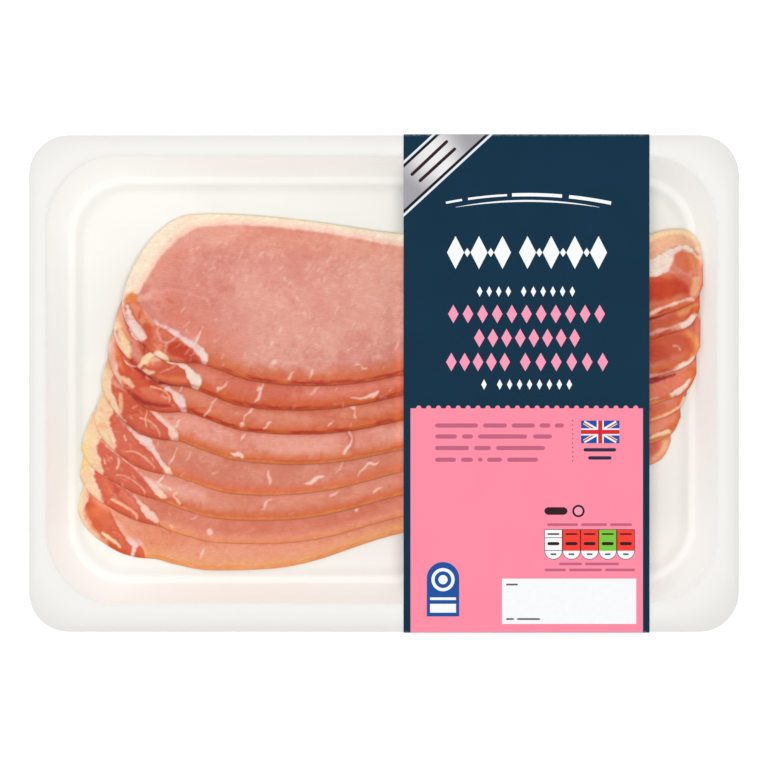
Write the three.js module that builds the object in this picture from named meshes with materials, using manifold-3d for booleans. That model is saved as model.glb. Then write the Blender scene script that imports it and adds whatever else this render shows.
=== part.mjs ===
// A clear-topped tray of back bacon, lying flat with its film side up: a thermoformed tray, a film lid on the
// tray's flange, a printed card sleeve round the right half, and eight rashers laid like shingles.
// Millimetres, +Z up. The origin is on the ground under the middle of the pack, +X runs along the pack
// towards the sleeve, and +Y runs towards the rind side of the rashers.
import * as THREE from "three";
import * as BufferGeometryUtils from "three/addons/utils/BufferGeometryUtils.js";
import Module from "manifold-3d";

const wasm = await Module();
wasm.setup();

// Driving sizes of the pack
const PACK_LENGTH = 250;
const PACK_WIDTH = 174.9;
const FLANGE_TOP = 26.4;
const FLANGE_THICKNESS = 0.7;
const FLANGE_EDGE_ROUND = 0.2;
const BRIM = { halfX: PACK_LENGTH / 2, halfY: PACK_WIDTH / 2, radius: 14 };
const FOOT_HEIGHT = 1.2;
const WALL = 0.6;

// The mouth of the tray, just inside the flange, is a rounded rectangle. The walls lean in from it to the
// floor, whose corners are less tight than an even inset would make them.
const MOUTH = { halfX: 117.8, halfY: 78.6, radius: 25, midX: -0.7, midY: 1.3 };
const MOUTH_ROUND = 1.2;
const FLOOR_INSET = 10.6;
const CORNER_SHARE = 0.7;
const FLOOR_ROUND = 4.4;
const CORNER_POINTS = 7;

// Film lid and card sleeve
const FILM_THICKNESS = 0.25;
const FILM_INSET = 0.15;
const SLEEVE_FROM_X = 6.9;
const SLEEVE_TO_X = 93.5;
const CARD_THICKNESS = 0.3;
const SLEEVE_CLEARANCE = 0.06;
const SLEEVE_BASE_HALF_WIDTH = 74;
const SLEEVE_RIM_DROP = 1.6;
const SLEEVE_LOWEST = 0.35;
const FOLD_ROUND = 0.35;
const BASE_FOLD = { out: 0.5, up: 0.8 };

// Feet moulded under the tray's two ends, clear of the sleeve
const FOOT = { nearX: 94.6, farX: 103.4, midY: 34, length: 34, corner: 3, overlap: 0.3 };

// One rasher, flat, from its thin left tip: how far its rind edge and its lean edge lie from the tip's level
const RASHER_LENGTH = 204.8;
const RIND_EDGE = [
  [0, 1.2], [1.6, 7.4], [5.4, 15.6], [11, 23.4], [19, 29.6], [28, 31.2], [46, 30.7], [70, 28.2], [99, 24.2],
  [141, 21.6], [180, 23.2], [193, 25.6], [200, 25.2], [203.6, 20.8], [204.8, 14],
];
const LEAN_EDGE = [
  [0, -1.2], [1.6, -5.6], [5, -10.2], [9, -13.9], [14, -17.4], [20, -19.4], [27, -20.4], [34, -23.2],
  [46, -27.3], [64, -29], [81, -28.4], [99, -25.2], [141, -14.8], [180, -6.6], [193, -3.2], [201.4, 0.2],
  [204.8, 6],
];
const RASHER_THICKNESS = 2.35;
const RASHER_EDGE_ROUND = 0.7;

// How each rasher lies, from the top one down: where its tip is against the top one's, how many degrees it
// is turned, how much longer it is, how much slimmer its eye and its waist are, and how much further its tail
// and its cap, by the tip, reach on the lean side
const TOP_TIP = { x: -92.4, y: 28.6 };
const LIES = [
  { right: 0, down: 0, turn: 0, longer: 0, eye: 0, waist: 0, tail: 0, cap: 2.4 },
  { right: -2.2, down: 8.9, turn: 0.5, longer: 1.2, eye: 0, waist: 1.4, tail: 0, cap: -0.5 },
  { right: -4.2, down: 18.4, turn: -0.9, longer: 3.2, eye: 0, waist: 1.6, tail: 2, cap: 3 },
  { right: -6.6, down: 29, turn: -0.4, longer: 4.4, eye: 0.4, waist: 1.6, tail: 2.1, cap: 0.5 },
  { right: -9.6, down: 40, turn: 0.9, longer: 4.2, eye: 0.6, waist: 4.0, tail: 0, cap: -2 },
  { right: -13.4, down: 49.6, turn: 1.6, longer: 6, eye: 1.8, waist: 4.4, tail: 0, cap: -5 },
  { right: -14.4, down: 58.6, turn: 1.8, longer: 3.6, eye: 2.5, waist: 5.2, tail: 0, cap: -5.5 },
  { right: -14.8, down: 69.2, turn: 2.8, longer: -5, eye: 3.9, waist: 8.6, tail: 0, cap: -2 },
];
const CAP = { at: 12, reach: 13 };
const EYE = { at: 50, reach: 28 };
const WAIST = { at: 108, reach: 42 };
const TAIL = { at: 185, reach: 34 };

// How the rashers drape over each other
const RASHER_CLEARANCE = 0.22;
const SOFTENING_REACH = 6;
const STATIONS = 20;
const ROWS = 11;
const END_BUNCHING = 0.75;
const CELL = 1;
const EDGE_TOLERANCE = 0.02;
const SOFTENING_PASSES = 14;
const LIFT_PASSES = 30;

const PLASTIC = new THREE.MeshStandardMaterial({ color: 0xf0efec, roughness: 0.35, metalness: 0 });
const FILM = new THREE.MeshStandardMaterial({
  color: 0xf6f7f7, roughness: 0.08, metalness: 0, transparent: true, opacity: 0.2,
});
const CARD = new THREE.MeshStandardMaterial({ color: 0x193346, roughness: 0.5, metalness: 0 });
const BACON = new THREE.MeshStandardMaterial({ color: 0xd98a78, roughness: 0.4, metalness: 0 });

// The points of a rounded rectangle, anticlockwise, at one height.
function roundedRing({ halfX, halfY, radius, midX = 0, midY = 0 }, z) {
  const points = [];
  [[1, 1], [-1, 1], [-1, -1], [1, -1]].forEach(([signX, signY], quarter) => {
    for (let i = 0; i < CORNER_POINTS; i++) {
      const angle = (Math.PI / 2) * (quarter + i / (CORNER_POINTS - 1));
      points.push(new THREE.Vector3(
        midX + signX * (halfX - radius) + radius * Math.cos(angle),
        midY + signY * (halfY - radius) + radius * Math.sin(angle),
        z,
      ));
    }
  });
  return points;
}

// The same rounded rectangle, smaller by an inset all round, with its corners tighter by a share of that.
function inset(shape, by, share = 1) {
  return {
    ...shape, halfX: shape.halfX - by, halfY: shape.halfY - by, radius: shape.radius - share * by,
  };
}

// A closed solid lofted through rings of equally many points, from a bottom centre to a top centre.
function loft(rings) {
  const count = rings[0].length;
  const middleOf = (ring) => ring
    .reduce((sum, p) => sum.add(p), new THREE.Vector3())
    .divideScalar(count);
  const vertices = [...rings.flat(), middleOf(rings[0]), middleOf(rings.at(-1))];
  const [first, last] = [vertices.length - 2, vertices.length - 1];
  const index = [];
  for (let i = 0; i < count; i++) {
    const j = (i + 1) % count;
    index.push(first, j, i);
    for (let r = 0; r < rings.length - 1; r++) {
      const [a, b] = [r * count, (r + 1) * count];
      index.push(a + i, a + j, b + j, a + i, b + j, b + i);
    }
    const top = (rings.length - 1) * count;
    index.push(last, top + i, top + j);
  }
  return new THREE.BufferGeometry().setFromPoints(vertices).setIndex(index);
}

// A geometry as a solid of the boolean library.
function solidOf(geometry) {
  const bare = new THREE.BufferGeometry().setAttribute("position", geometry.getAttribute("position").clone());
  if (geometry.index) bare.setIndex(geometry.index.clone());
  const merged = BufferGeometryUtils.mergeVertices(bare, 1e-4);
  return new wasm.Manifold(new wasm.Mesh({
    numProp: 3,
    vertProperties: merged.attributes.position.array,
    triVerts: new Uint32Array(merged.index.array),
  }));
}

// A solid of the boolean library as a geometry.
function geometryOf(solid) {
  const mesh = solid.getMesh();
  const points = new Float32Array(mesh.numVert * 3);
  for (let i = 0; i < mesh.numVert; i++) {
    points.set(mesh.vertProperties.subarray(i * mesh.numProp, i * mesh.numProp + 3), i * 3);
  }
  const made = new THREE.BufferGeometry();
  made.setAttribute("position", new THREE.BufferAttribute(points, 3));
  made.setIndex(new THREE.BufferAttribute(mesh.triVerts, 1));
  return made;
}

// The inside of the tray as rounded rectangles, from the mouth down to the floor's edge.
const FLOOR_TOP = FOOT_HEIGHT + WALL;
const INSIDE = [
  { shape: inset(MOUTH, -MOUTH_ROUND), z: FLANGE_TOP },
  { shape: inset(MOUTH, -0.3 * MOUTH_ROUND), z: FLANGE_TOP - 0.3 * MOUTH_ROUND },
  { shape: MOUTH, z: FLANGE_TOP - MOUTH_ROUND },
  { shape: inset(MOUTH, FLOOR_INSET - FLOOR_ROUND, CORNER_SHARE), z: FLOOR_TOP + FLOOR_ROUND },
  { shape: inset(MOUTH, FLOOR_INSET - 0.45 * FLOOR_ROUND, CORNER_SHARE), z: FLOOR_TOP + 0.42 * FLOOR_ROUND },
  { shape: inset(MOUTH, FLOOR_INSET, CORNER_SHARE), z: FLOOR_TOP + 0.08 * FLOOR_ROUND },
  { shape: inset(MOUTH, FLOOR_INSET + 0.7 * FLOOR_ROUND, CORNER_SHARE), z: FLOOR_TOP },
];

// The tray: its outside from the base up to the flange's edge, then its inside from the mouth down.
function tray() {
  const underFlange = FLANGE_TOP - FLANGE_THICKNESS;
  const outside = INSIDE.slice(2).reverse().map(({ shape, z }) => roundedRing(inset(shape, -WALL), z - WALL));
  const flange = [
    roundedRing(inset(MOUTH, -WALL - 0.5 * MOUTH_ROUND), underFlange),
    roundedRing(inset(BRIM, FLANGE_EDGE_ROUND), underFlange),
    roundedRing(BRIM, underFlange + FLANGE_EDGE_ROUND),
    roundedRing(BRIM, FLANGE_TOP - FLANGE_EDGE_ROUND),
    roundedRing(inset(BRIM, FLANGE_EDGE_ROUND), FLANGE_TOP),
  ];
  const inside = INSIDE.map(({ shape, z }) => roundedRing(shape, z));
  let solid = solidOf(loft([...outside, ...flange, ...inside]));
  for (const sideX of [-1, 1]) {
    for (const sideY of [-1, 1]) solid = solid.add(solidOf(foot(sideX, sideY)));
  }
  return geometryOf(solid);
}

// A foot: a low pad with round corners, sunk a little into the base that it carries.
function foot(sideX, sideY) {
  const [halfX, halfY, radius] = [(FOOT.farX - FOOT.nearX) / 2, FOOT.length / 2, FOOT.corner];
  const outline = new THREE.Shape();
  outline.moveTo(halfX, halfY - radius);
  outline.absarc(halfX - radius, halfY - radius, radius, 0, Math.PI / 2);
  outline.absarc(radius - halfX, halfY - radius, radius, Math.PI / 2, Math.PI);
  outline.absarc(radius - halfX, radius - halfY, radius, Math.PI, 1.5 * Math.PI);
  outline.absarc(halfX - radius, radius - halfY, radius, 1.5 * Math.PI, 2 * Math.PI);
  outline.closePath();
  const pad = new THREE.ExtrudeGeometry(outline, {
    depth: FOOT_HEIGHT + FOOT.overlap, bevelEnabled: false, curveSegments: 4,
  });
  return pad.translate(sideX * (FOOT.nearX + halfX), sideY * FOOT.midY, 0);
}

// The film lid, a thin sheet sealed on the flange.
function film() {
  const outline = inset(BRIM, FILM_INSET);
  return loft([roundedRing(outline, FLANGE_TOP), roundedRing(outline, FLANGE_TOP + FILM_THICKNESS)]);
}

// Half of the sleeve's section, from the top's middle round to the base's middle, at a distance out from the
// line that just clears the pack.
function sleeveSection(out) {
  const rim = PACK_WIDTH / 2 + SLEEVE_CLEARANCE + out;
  const top = FLANGE_TOP + FILM_THICKNESS + SLEEVE_CLEARANCE + out;
  const base = SLEEVE_LOWEST + CARD_THICKNESS - out;
  const fold = FOLD_ROUND + out;
  return [
    [rim - fold, top],
    [rim - 0.3 * fold, top - 0.3 * fold],
    [rim, top - fold],
    [rim, FLANGE_TOP - SLEEVE_RIM_DROP],
    [SLEEVE_BASE_HALF_WIDTH + BASE_FOLD.out + out, base + BASE_FOLD.up],
    [SLEEVE_BASE_HALF_WIDTH, base],
  ];
}

// The card sleeve: a band folded round the pack, as four rings joined into a closed loop.
function sleeve() {
  const bothHalves = (half) => [...half, ...half.toReversed().map(([y, z]) => [-y, z])];
  const ring = (out, x) => bothHalves(sleeveSection(out)).map(([y, z]) => new THREE.Vector3(x, y, z));
  const rings = [
    ring(0, SLEEVE_FROM_X), ring(CARD_THICKNESS, SLEEVE_FROM_X),
    ring(CARD_THICKNESS, SLEEVE_TO_X), ring(0, SLEEVE_TO_X),
  ];
  const count = rings[0].length;
  const index = [];
  rings.forEach((_, r) => {
    const [a, b] = [r * count, ((r + 1) % rings.length) * count];
    for (let i = 0; i < count; i++) {
      const j = (i + 1) % count;
      index.push(a + i, b + j, a + j, a + i, b + i, b + j);
    }
  });
  return new THREE.BufferGeometry().setFromPoints(rings.flat()).setIndex(index);
}

// A height at each point of a smooth curve through the given points, by how far along it lies.
function edgeCurve(points) {
  const curve = new THREE.SplineCurve(points.map(([x, y]) => new THREE.Vector2(x, y)));
  const samples = curve.getPoints(30 * points.length);
  return (x) => {
    const after = samples.findIndex((p) => p.x >= x);
    if (after <= 0) return samples[after === 0 ? 0 : samples.length - 1].y;
    const [a, b] = [samples[after - 1], samples[after]];
    return a.y + ((b.y - a.y) * (x - a.x)) / Math.max(b.x - a.x, 1e-9);
  };
}

const rindEdge = edgeCurve(RIND_EDGE);
const leanEdge = edgeCurve(LEAN_EDGE);

// A rasher's plan: a grid of points, closer together at its two round ends.
function rasherPlan(lie) {
  const turn = THREE.MathUtils.degToRad(lie.turn);
  const stretch = 1 + lie.longer / RASHER_LENGTH;
  const pivotX = RASHER_LENGTH / 2;
  const plan = [];
  for (let i = 0; i <= STATIONS; i++) {
    const even = i / STATIONS;
    const bunched = (1 - Math.cos(Math.PI * even)) / 2;
    const along = RASHER_LENGTH * THREE.MathUtils.lerp(even, bunched, END_BUNCHING);
    const near = ({ at, reach }) => Math.exp(-(((along - at) / reach) ** 2));
    const slimmer = lie.eye * near(EYE) + lie.waist * near(WAIST);
    const fuller = lie.tail * near(TAIL) + lie.cap * near(CAP) - slimmer;
    const [low, high] = [leanEdge(along) - fuller, rindEdge(along)];
    for (let j = 0; j <= ROWS; j++) {
      const [x, y] = [along * stretch - pivotX, low + ((high - low) * j) / ROWS];
      plan.push(new THREE.Vector2(
        TOP_TIP.x + lie.right + pivotX + x * Math.cos(turn) - y * Math.sin(turn),
        TOP_TIP.y - lie.down + x * Math.sin(turn) + y * Math.cos(turn),
      ));
    }
  }
  return plan;
}

// The numbers of a plan's outer points, anticlockwise.
function rimOf() {
  const at = (i, j) => i * (ROWS + 1) + j;
  const rim = [];
  for (let i = 0; i < STATIONS; i++) rim.push(at(i, 0));
  for (let j = 0; j < ROWS; j++) rim.push(at(STATIONS, j));
  for (let i = STATIONS; i > 0; i--) rim.push(at(i, ROWS));
  for (let j = ROWS; j > 0; j--) rim.push(at(0, j));
  return rim;
}

// The triangles of a plan, facing up.
function planTriangles() {
  const at = (i, j) => i * (ROWS + 1) + j;
  const triangles = [];
  for (let i = 0; i < STATIONS; i++) {
    for (let j = 0; j < ROWS; j++) {
      triangles.push([at(i, j), at(i + 1, j), at(i + 1, j + 1)], [at(i, j), at(i + 1, j + 1), at(i, j + 1)]);
    }
  }
  return triangles;
}

// How far a point is outside a rounded rectangle, negative inside it.
function outsideOf({ halfX, halfY, radius, midX, midY }, x, y) {
  const dx = Math.abs(x - midX) - (halfX - radius);
  const dy = Math.abs(y - midY) - (halfY - radius);
  return Math.hypot(Math.max(dx, 0), Math.max(dy, 0)) + Math.min(Math.max(dx, dy), 0) - radius;
}

// The height of the tray's inside at a point.
function trayInside(x, y) {
  for (let i = INSIDE.length - 1; i > 0; i--) {
    const [inner, outer] = [INSIDE[i], INSIDE[i - 1]];
    const beyond = outsideOf(inner.shape, x, y);
    if (beyond <= 0) return inner.z;
    const short = -outsideOf(outer.shape, x, y);
    if (short > 0) return inner.z + ((outer.z - inner.z) * beyond) / (beyond + short);
  }
  return FLANGE_TOP;
}

// The top of what lies in the tray so far, on a grid of square cells.
class Heap {
  constructor() {
    this.countX = Math.ceil(PACK_LENGTH / CELL) + 1;
    this.countY = Math.ceil(PACK_WIDTH / CELL) + 1;
    this.height = new Float64Array(this.countX * this.countY);
    this.eachCell((x, y, n) => { this.height[n] = trayInside(x, y); });
    this.guard = this.height.slice();
  }

  // Takes in a rasher's top, given as its triangles' corners. The guard height holds it one cell wider, so
  // that the next rasher stays clear of its sides as well.
  take(tops) {
    const laid = new Set();
    for (const corners of tops) {
      this.underTriangle(corners, (cell, weights) => {
        const top = corners.reduce((sum, p, k) => sum + weights[k] * p.z, 0);
        this.height[cell] = Math.max(this.height[cell], top);
        laid.add(cell);
      });
    }
    for (const cell of laid) {
      for (const across of [-this.countY, 0, this.countY]) {
        for (const beside of [-1, 0, 1]) {
          const near = cell + across + beside;
          this.guard[near] = Math.max(this.guard[near], this.height[cell]);
        }
      }
    }
  }

  eachCell(visit) {
    for (let i = 0; i < this.countX; i++) {
      for (let j = 0; j < this.countY; j++) {
        visit(i * CELL - PACK_LENGTH / 2, j * CELL - PACK_WIDTH / 2, i * this.countY + j);
      }
    }
  }

  // Visits each cell under a triangle with its three weights there.
  underTriangle(corners, visit) {
    const [a, b, c] = corners;
    const area = (b.x - a.x) * (c.y - a.y) - (c.x - a.x) * (b.y - a.y);
    if (Math.abs(area) < 1e-9) return;
    const cellOf = (value, size) => (value + size / 2) / CELL;
    const [xs, ys] = [corners.map((p) => p.x), corners.map((p) => p.y)];
    const lastX = Math.min(Math.floor(cellOf(Math.max(...xs), PACK_LENGTH)), this.countX - 1);
    const lastY = Math.min(Math.floor(cellOf(Math.max(...ys), PACK_WIDTH)), this.countY - 1);
    for (let i = Math.ceil(cellOf(Math.min(...xs), PACK_LENGTH)); i <= lastX; i++) {
      for (let j = Math.ceil(cellOf(Math.min(...ys), PACK_WIDTH)); j <= lastY; j++) {
        const [x, y] = [i * CELL - PACK_LENGTH / 2, j * CELL - PACK_WIDTH / 2];
        const wb = ((x - a.x) * (c.y - a.y) - (c.x - a.x) * (y - a.y)) / area;
        const wc = ((b.x - a.x) * (y - a.y) - (x - a.x) * (b.y - a.y)) / area;
        const wa = 1 - wb - wc;
        if (Math.min(wa, wb, wc) > -EDGE_TOLERANCE) visit(i * this.countY + j, [wa, wb, wc]);
      }
    }
  }

  // The greatest height to stay clear of at a point, of the four cells round it.
  at(x, y) {
    const [fx, fy] = [(x + PACK_LENGTH / 2) / CELL, (y + PACK_WIDTH / 2) / CELL];
    const n = Math.floor(fx) * this.countY + Math.floor(fy);
    const far = n + this.countY;
    return Math.max(this.guard[n], this.guard[n + 1], this.guard[far], this.guard[far + 1]);
  }
}

// The heights at which a soft sheet of this plan comes to rest on the heap: the heap's own height under each
// point, softened over the sheet, then lifted wherever a triangle would still cut into what lies below, both
// with the sheet's edge where it is and with its rounded edge pulled in.
function restingHeights(heap, plan, pulled, triangles) {
  const next = Array.from(plan, () => new Set());
  for (const [a, b, c] of triangles) {
    [[a, b], [b, c], [c, a]].forEach(([p, q]) => {
      next[p].add(q);
      next[q].add(p);
    });
  }
  const bare = plan.map((p, n) => (
    Math.max(heap.at(p.x, p.y), heap.at(pulled[n].x, pulled[n].y)) + RASHER_CLEARANCE
  ));
  let height = [...bare];
  for (let pass = 0; pass < SOFTENING_PASSES; pass++) {
    height = height.map((own, n) => {
      let [sum, weight] = [own, 1];
      for (const m of next[n]) {
        const near = Math.exp(-((plan[n].distanceTo(plan[m]) / SOFTENING_REACH) ** 2));
        sum += near * height[m];
        weight += near;
      }
      return Math.max(bare[n], sum / weight);
    });
  }
  for (let pass = 0; pass < LIFT_PASSES; pass++) {
    for (const points of [plan, pulled]) {
      for (const triangle of triangles) {
        heap.underTriangle(triangle.map((n) => points[n]), (cell, weights) => {
          const here = triangle.reduce((sum, n, k) => sum + weights[k] * height[n], 0);
          const short = heap.guard[cell] + RASHER_CLEARANCE - here;
          if (short <= 0) return;
          const share = weights.reduce((sum, w) => sum + w * w, 0);
          triangle.forEach((n, k) => { height[n] += (short * Math.max(weights[k], 0)) / share; });
        });
      }
    }
  }
  return height;
}

// One rasher, laid on the heap, which then holds its top.
function rasher(heap, lie) {
  const plan = rasherPlan(lie);
  const triangles = planTriangles();
  const rim = rimOf();
  const inward = new Map(rim.map((n, k) => {
    const [before, after] = [plan[rim.at(k - 1)], plan[rim[(k + 1) % rim.length]]];
    const along = after.clone().sub(before).normalize();
    return [n, new THREE.Vector2(-along.y, along.x).multiplyScalar(RASHER_EDGE_ROUND)];
  }));
  const pulled = plan.map((p, n) => (inward.has(n) ? p.clone().add(inward.get(n)) : p));
  const rest = restingHeights(heap, plan, pulled, triangles);
  const count = plan.length;
  const low = pulled.map((p, n) => new THREE.Vector3(p.x, p.y, rest[n]));
  const high = pulled.map((p, n) => new THREE.Vector3(p.x, p.y, rest[n] + RASHER_THICKNESS));
  const side = rim.map((n) => new THREE.Vector3(plan[n].x, plan[n].y, rest[n] + 0.5 * RASHER_THICKNESS));
  const index = triangles.flatMap(([a, b, c]) => [a, c, b, count + a, count + b, count + c]);
  rim.forEach((n, k) => {
    const m = rim[(k + 1) % rim.length];
    const [here, there] = [2 * count + k, 2 * count + ((k + 1) % rim.length)];
    index.push(n, m, there, n, there, here, here, there, count + m, here, count + m, count + n);
  });
  const tops = plan.map((p, n) => new THREE.Vector3(p.x, p.y, high[n].z));
  heap.take(triangles.map((triangle) => triangle.map((n) => tops[n])));
  return new THREE.BufferGeometry().setFromPoints([...low, ...high, ...side]).setIndex(index);
}

// A named mesh of the pack.
function piece(name, geometry, material) {
  geometry.computeVertexNormals();
  const mesh = new THREE.Mesh(geometry, material);
  mesh.name = name;
  return mesh;
}

const pack = new THREE.Group();
pack.add(piece("tray", tray(), PLASTIC), piece("film", film(), FILM), piece("sleeve", sleeve(), CARD));

const heap = new Heap();
LIES.map((lie, k) => [lie, k + 1]).toReversed().forEach(([lie, number]) => {
  pack.add(piece(`rasher_${number}`, rasher(heap, lie), BACON));
});

export default pack;
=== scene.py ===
"""A clear-topped tray of back bacon in a printed card sleeve, seen from straight above.

Everything is in millimetres in the pack's own frame, +Z up, and turned into metres as a mesh is placed.
"""
import logging
import math
from collections.abc import Iterable, Sequence
from dataclasses import dataclass, field
from enum import Enum

import bmesh
import bpy
import numpy as np
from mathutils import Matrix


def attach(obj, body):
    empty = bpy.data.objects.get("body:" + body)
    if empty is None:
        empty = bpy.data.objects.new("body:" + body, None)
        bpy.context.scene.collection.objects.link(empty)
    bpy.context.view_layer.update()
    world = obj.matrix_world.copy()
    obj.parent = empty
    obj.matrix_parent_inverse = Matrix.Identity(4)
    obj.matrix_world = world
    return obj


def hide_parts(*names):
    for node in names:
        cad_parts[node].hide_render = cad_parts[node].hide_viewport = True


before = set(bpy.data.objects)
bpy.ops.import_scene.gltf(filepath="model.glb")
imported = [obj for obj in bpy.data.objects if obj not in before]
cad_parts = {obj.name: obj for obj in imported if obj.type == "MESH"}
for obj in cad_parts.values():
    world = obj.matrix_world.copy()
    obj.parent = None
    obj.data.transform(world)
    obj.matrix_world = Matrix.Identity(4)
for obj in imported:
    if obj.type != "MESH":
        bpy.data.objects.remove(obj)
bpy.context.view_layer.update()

log = logging.getLogger("bacon_pack")
MM = 0.001
BODY = "root"

Rgb = tuple[float, float, float]
Triple = tuple[float, float, float]
Point = tuple[float, float]


@dataclass(frozen=True)
class Photo:
    """The photograph's frame: what a pixel measures on the pack, and where the pack's middle lies in it."""

    width: int = 768
    mm_per_pixel: float = 0.35214
    middle_x: float = 383.93
    middle_y: float = 383.5

    def place(self, x: float, y: float) -> Point:
        """Turn a pixel into a place on the pack.

        Args:
            x: Pixels from the photo's left edge.
            y: Pixels from its top edge.

        Returns:
            The place in millimetres.
        """
        return (x - self.middle_x) * self.mm_per_pixel, (self.middle_y - y) * self.mm_per_pixel

    def size(self, pixels: float) -> float:
        """A length in pixels as millimetres."""
        return pixels * self.mm_per_pixel


PHOTO = Photo()


# Light and colour

@dataclass(frozen=True)
class Studio:
    """The floor, the soft light and the camera straight above the pack."""

    lens: float = 400.0
    sensor: float = 36.0
    focus_height: float = 26.4
    sky: float = 0.27
    overhead: float = 0.85
    overhead_spread: float = 24.0
    floor_tone: Rgb = (250, 250, 249)
    floor_shade: Rgb = (248, 248, 248)
    floor_glow: float = 0.42
    floor_size: float = 6000.0
    floor_mottle: float = 0.004
    lamp_size: float = 900.0
    lamp_place: Triple = (-900.0, 700.0, 1500.0)
    lamp_power: float = 5.0

    def build(self) -> None:
        """Make the floor, the light and the camera, and make the colours plain."""
        self.lay_floor()
        self.light()
        self.aim_camera()
        bpy.context.scene.view_settings.view_transform = "Standard"

    def lay_floor(self) -> None:
        """Lay a pale floor that glows a little, so that it stays white close to the pack."""
        bpy.ops.object.select_all(action="DESELECT")
        bpy.ops.mesh.primitive_plane_add(size=self.floor_size * MM)
        floor = bpy.context.active_object
        floor.name = "floor"
        surface = Surface("pale_floor", {"Roughness": 0.9, "Specular IOR Level": 0.0})
        mottle = surface.noise(surface.place(), self.floor_mottle)
        surface.shade(surface.mix(mottle, tone(self.floor_tone), tone(self.floor_shade)))
        surface.shader.inputs["Emission Color"].default_value = (1, 1, 1, 1)
        surface.shader.inputs["Emission Strength"].default_value = self.floor_glow
        floor.data.materials.append(surface.material)

    def light(self) -> None:
        """Light the pack evenly from all round and from above, with one broad lamp for a soft gloss."""
        world = bpy.data.worlds.new("even_sky")
        world.use_nodes = True
        sky = world.node_tree.nodes["Background"]
        sky.inputs["Color"].default_value = (1, 1, 1, 1)
        sky.inputs["Strength"].default_value = self.sky
        bpy.context.scene.world = world
        bpy.ops.object.light_add(type="SUN", location=(0, 0, 2))
        overhead = bpy.context.active_object
        overhead.name = "overhead_light"
        overhead.data.angle = math.radians(self.overhead_spread)
        overhead.data.energy = self.overhead * math.pi
        bpy.ops.object.light_add(type="AREA", location=[c * MM for c in self.lamp_place])
        lamp = bpy.context.active_object
        lamp.name = "broad_lamp"
        lamp.data.size = self.lamp_size * MM
        lamp.data.energy = self.lamp_power
        lamp.rotation_euler = (-lamp.location).to_track_quat("-Z", "Y").to_euler()
        lamp.visible_camera = False

    def aim_camera(self) -> None:
        """Put the camera straight above, as far up as its long lens needs for the photo's frame."""
        seen = PHOTO.size(PHOTO.width)
        height = self.focus_height + seen * self.lens / self.sensor
        middle = PHOTO.place(PHOTO.width / 2, PHOTO.width / 2)
        bpy.ops.object.camera_add(location=(middle[0] * MM, middle[1] * MM, height * MM), rotation=(0, 0, 0))
        camera = bpy.context.active_object
        camera.data.lens = self.lens
        camera.data.sensor_width = self.sensor
        camera.data.clip_end = 100.0
        bpy.context.scene.camera = camera


LIGHT_ON_A_FLAT_FACE = 1.2
PALEST_SURFACE = 0.95


def linear(channel: float) -> float:
    """A screen value from 0 to 255 as a share of light."""
    share = channel / 255
    return share / 12.92 if share <= 0.04045 else ((share + 0.055) / 1.055) ** 2.4


def tone(screen: Rgb, gloss: float = 0.0) -> tuple[float, float, float, float]:
    """Work out the colour that a surface needs to look like a screen tone under this light.

    Args:
        screen: Red, green and blue as the photo shows them, 0 to 255.
        gloss: The share of light that the surface's gloss and the lid add.

    Returns:
        The surface's own colour as light shares, with full opacity.
    """
    needed = ((linear(c) - gloss) / LIGHT_ON_A_FLAT_FACE for c in screen)
    red, green, blue = (min(max(share, 0.0), PALEST_SURFACE) for share in needed)
    return red, green, blue, 1.0


class Value:
    """A number in a shader that can stand in a Python expression."""

    def __init__(self, surface: "Surface", socket: bpy.types.NodeSocket) -> None:
        """Wrap an output socket of one of the surface's nodes."""
        self.surface = surface
        self.socket = socket

    def _maths(self, operation: str, first: "Value | float", second: "Value | float") -> "Value":
        """Add a Math node for two numbers."""
        node = self.surface.node("ShaderNodeMath", {"operation": operation}, {0: first, 1: second})
        return Value(self.surface, node.outputs[0])

    def __add__(self, other: "Value | float") -> "Value":
        """This plus another."""
        return self._maths("ADD", self, other)

    def __sub__(self, other: "Value | float") -> "Value":
        """This less another."""
        return self._maths("SUBTRACT", self, other)

    def __mul__(self, other: "Value | float") -> "Value":
        """This times another."""
        return self._maths("MULTIPLY", self, other)

    def __abs__(self) -> "Value":
        """This without its sign."""
        return self._maths("ABSOLUTE", self, 0.0)

    def fraction(self) -> "Value":
        """This less its whole part."""
        return self._maths("FRACT", self, 0.0)

    def root(self) -> "Value":
        """The square root of this."""
        return self._maths("SQRT", self, 0.0)

    def most(self, other: "Value | float") -> "Value":
        """The greater of this and another."""
        return self._maths("MAXIMUM", self, other)

    def ramp(self, start: float, end: float) -> "Value":
        """Rise smoothly from 0 at one value to 1 at another, which may be the smaller one.

        Args:
            start: Where the result is 0.
            end: Where it is 1.

        Returns:
            The share, kept between 0 and 1.
        """
        low, high = sorted((start, end))
        node = self.surface.node(
            "ShaderNodeMapRange",
            {"interpolation_type": "SMOOTHSTEP"},
            {0: self, 1: low, 2: high, 3: float(start > end), 4: float(start <= end)},
        )
        return Value(self.surface, node.outputs[0])

    def above(self, edge: float, soft: float) -> "Value":
        """1 above an edge and 0 below it, over a soft width."""
        return self.ramp(edge - soft / 2, edge + soft / 2)

    def below(self, edge: float, soft: float) -> "Value":
        """1 below an edge and 0 above it, over a soft width."""
        return self.ramp(edge + soft / 2, edge - soft / 2)

    def band(self, middle: float, half: float, soft: float) -> "Value":
        """1 within half a width of the middle and 0 outside."""
        return abs(self - middle).below(half, soft)


Input = Value | bpy.types.NodeSocket | float | Sequence[float]


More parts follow.
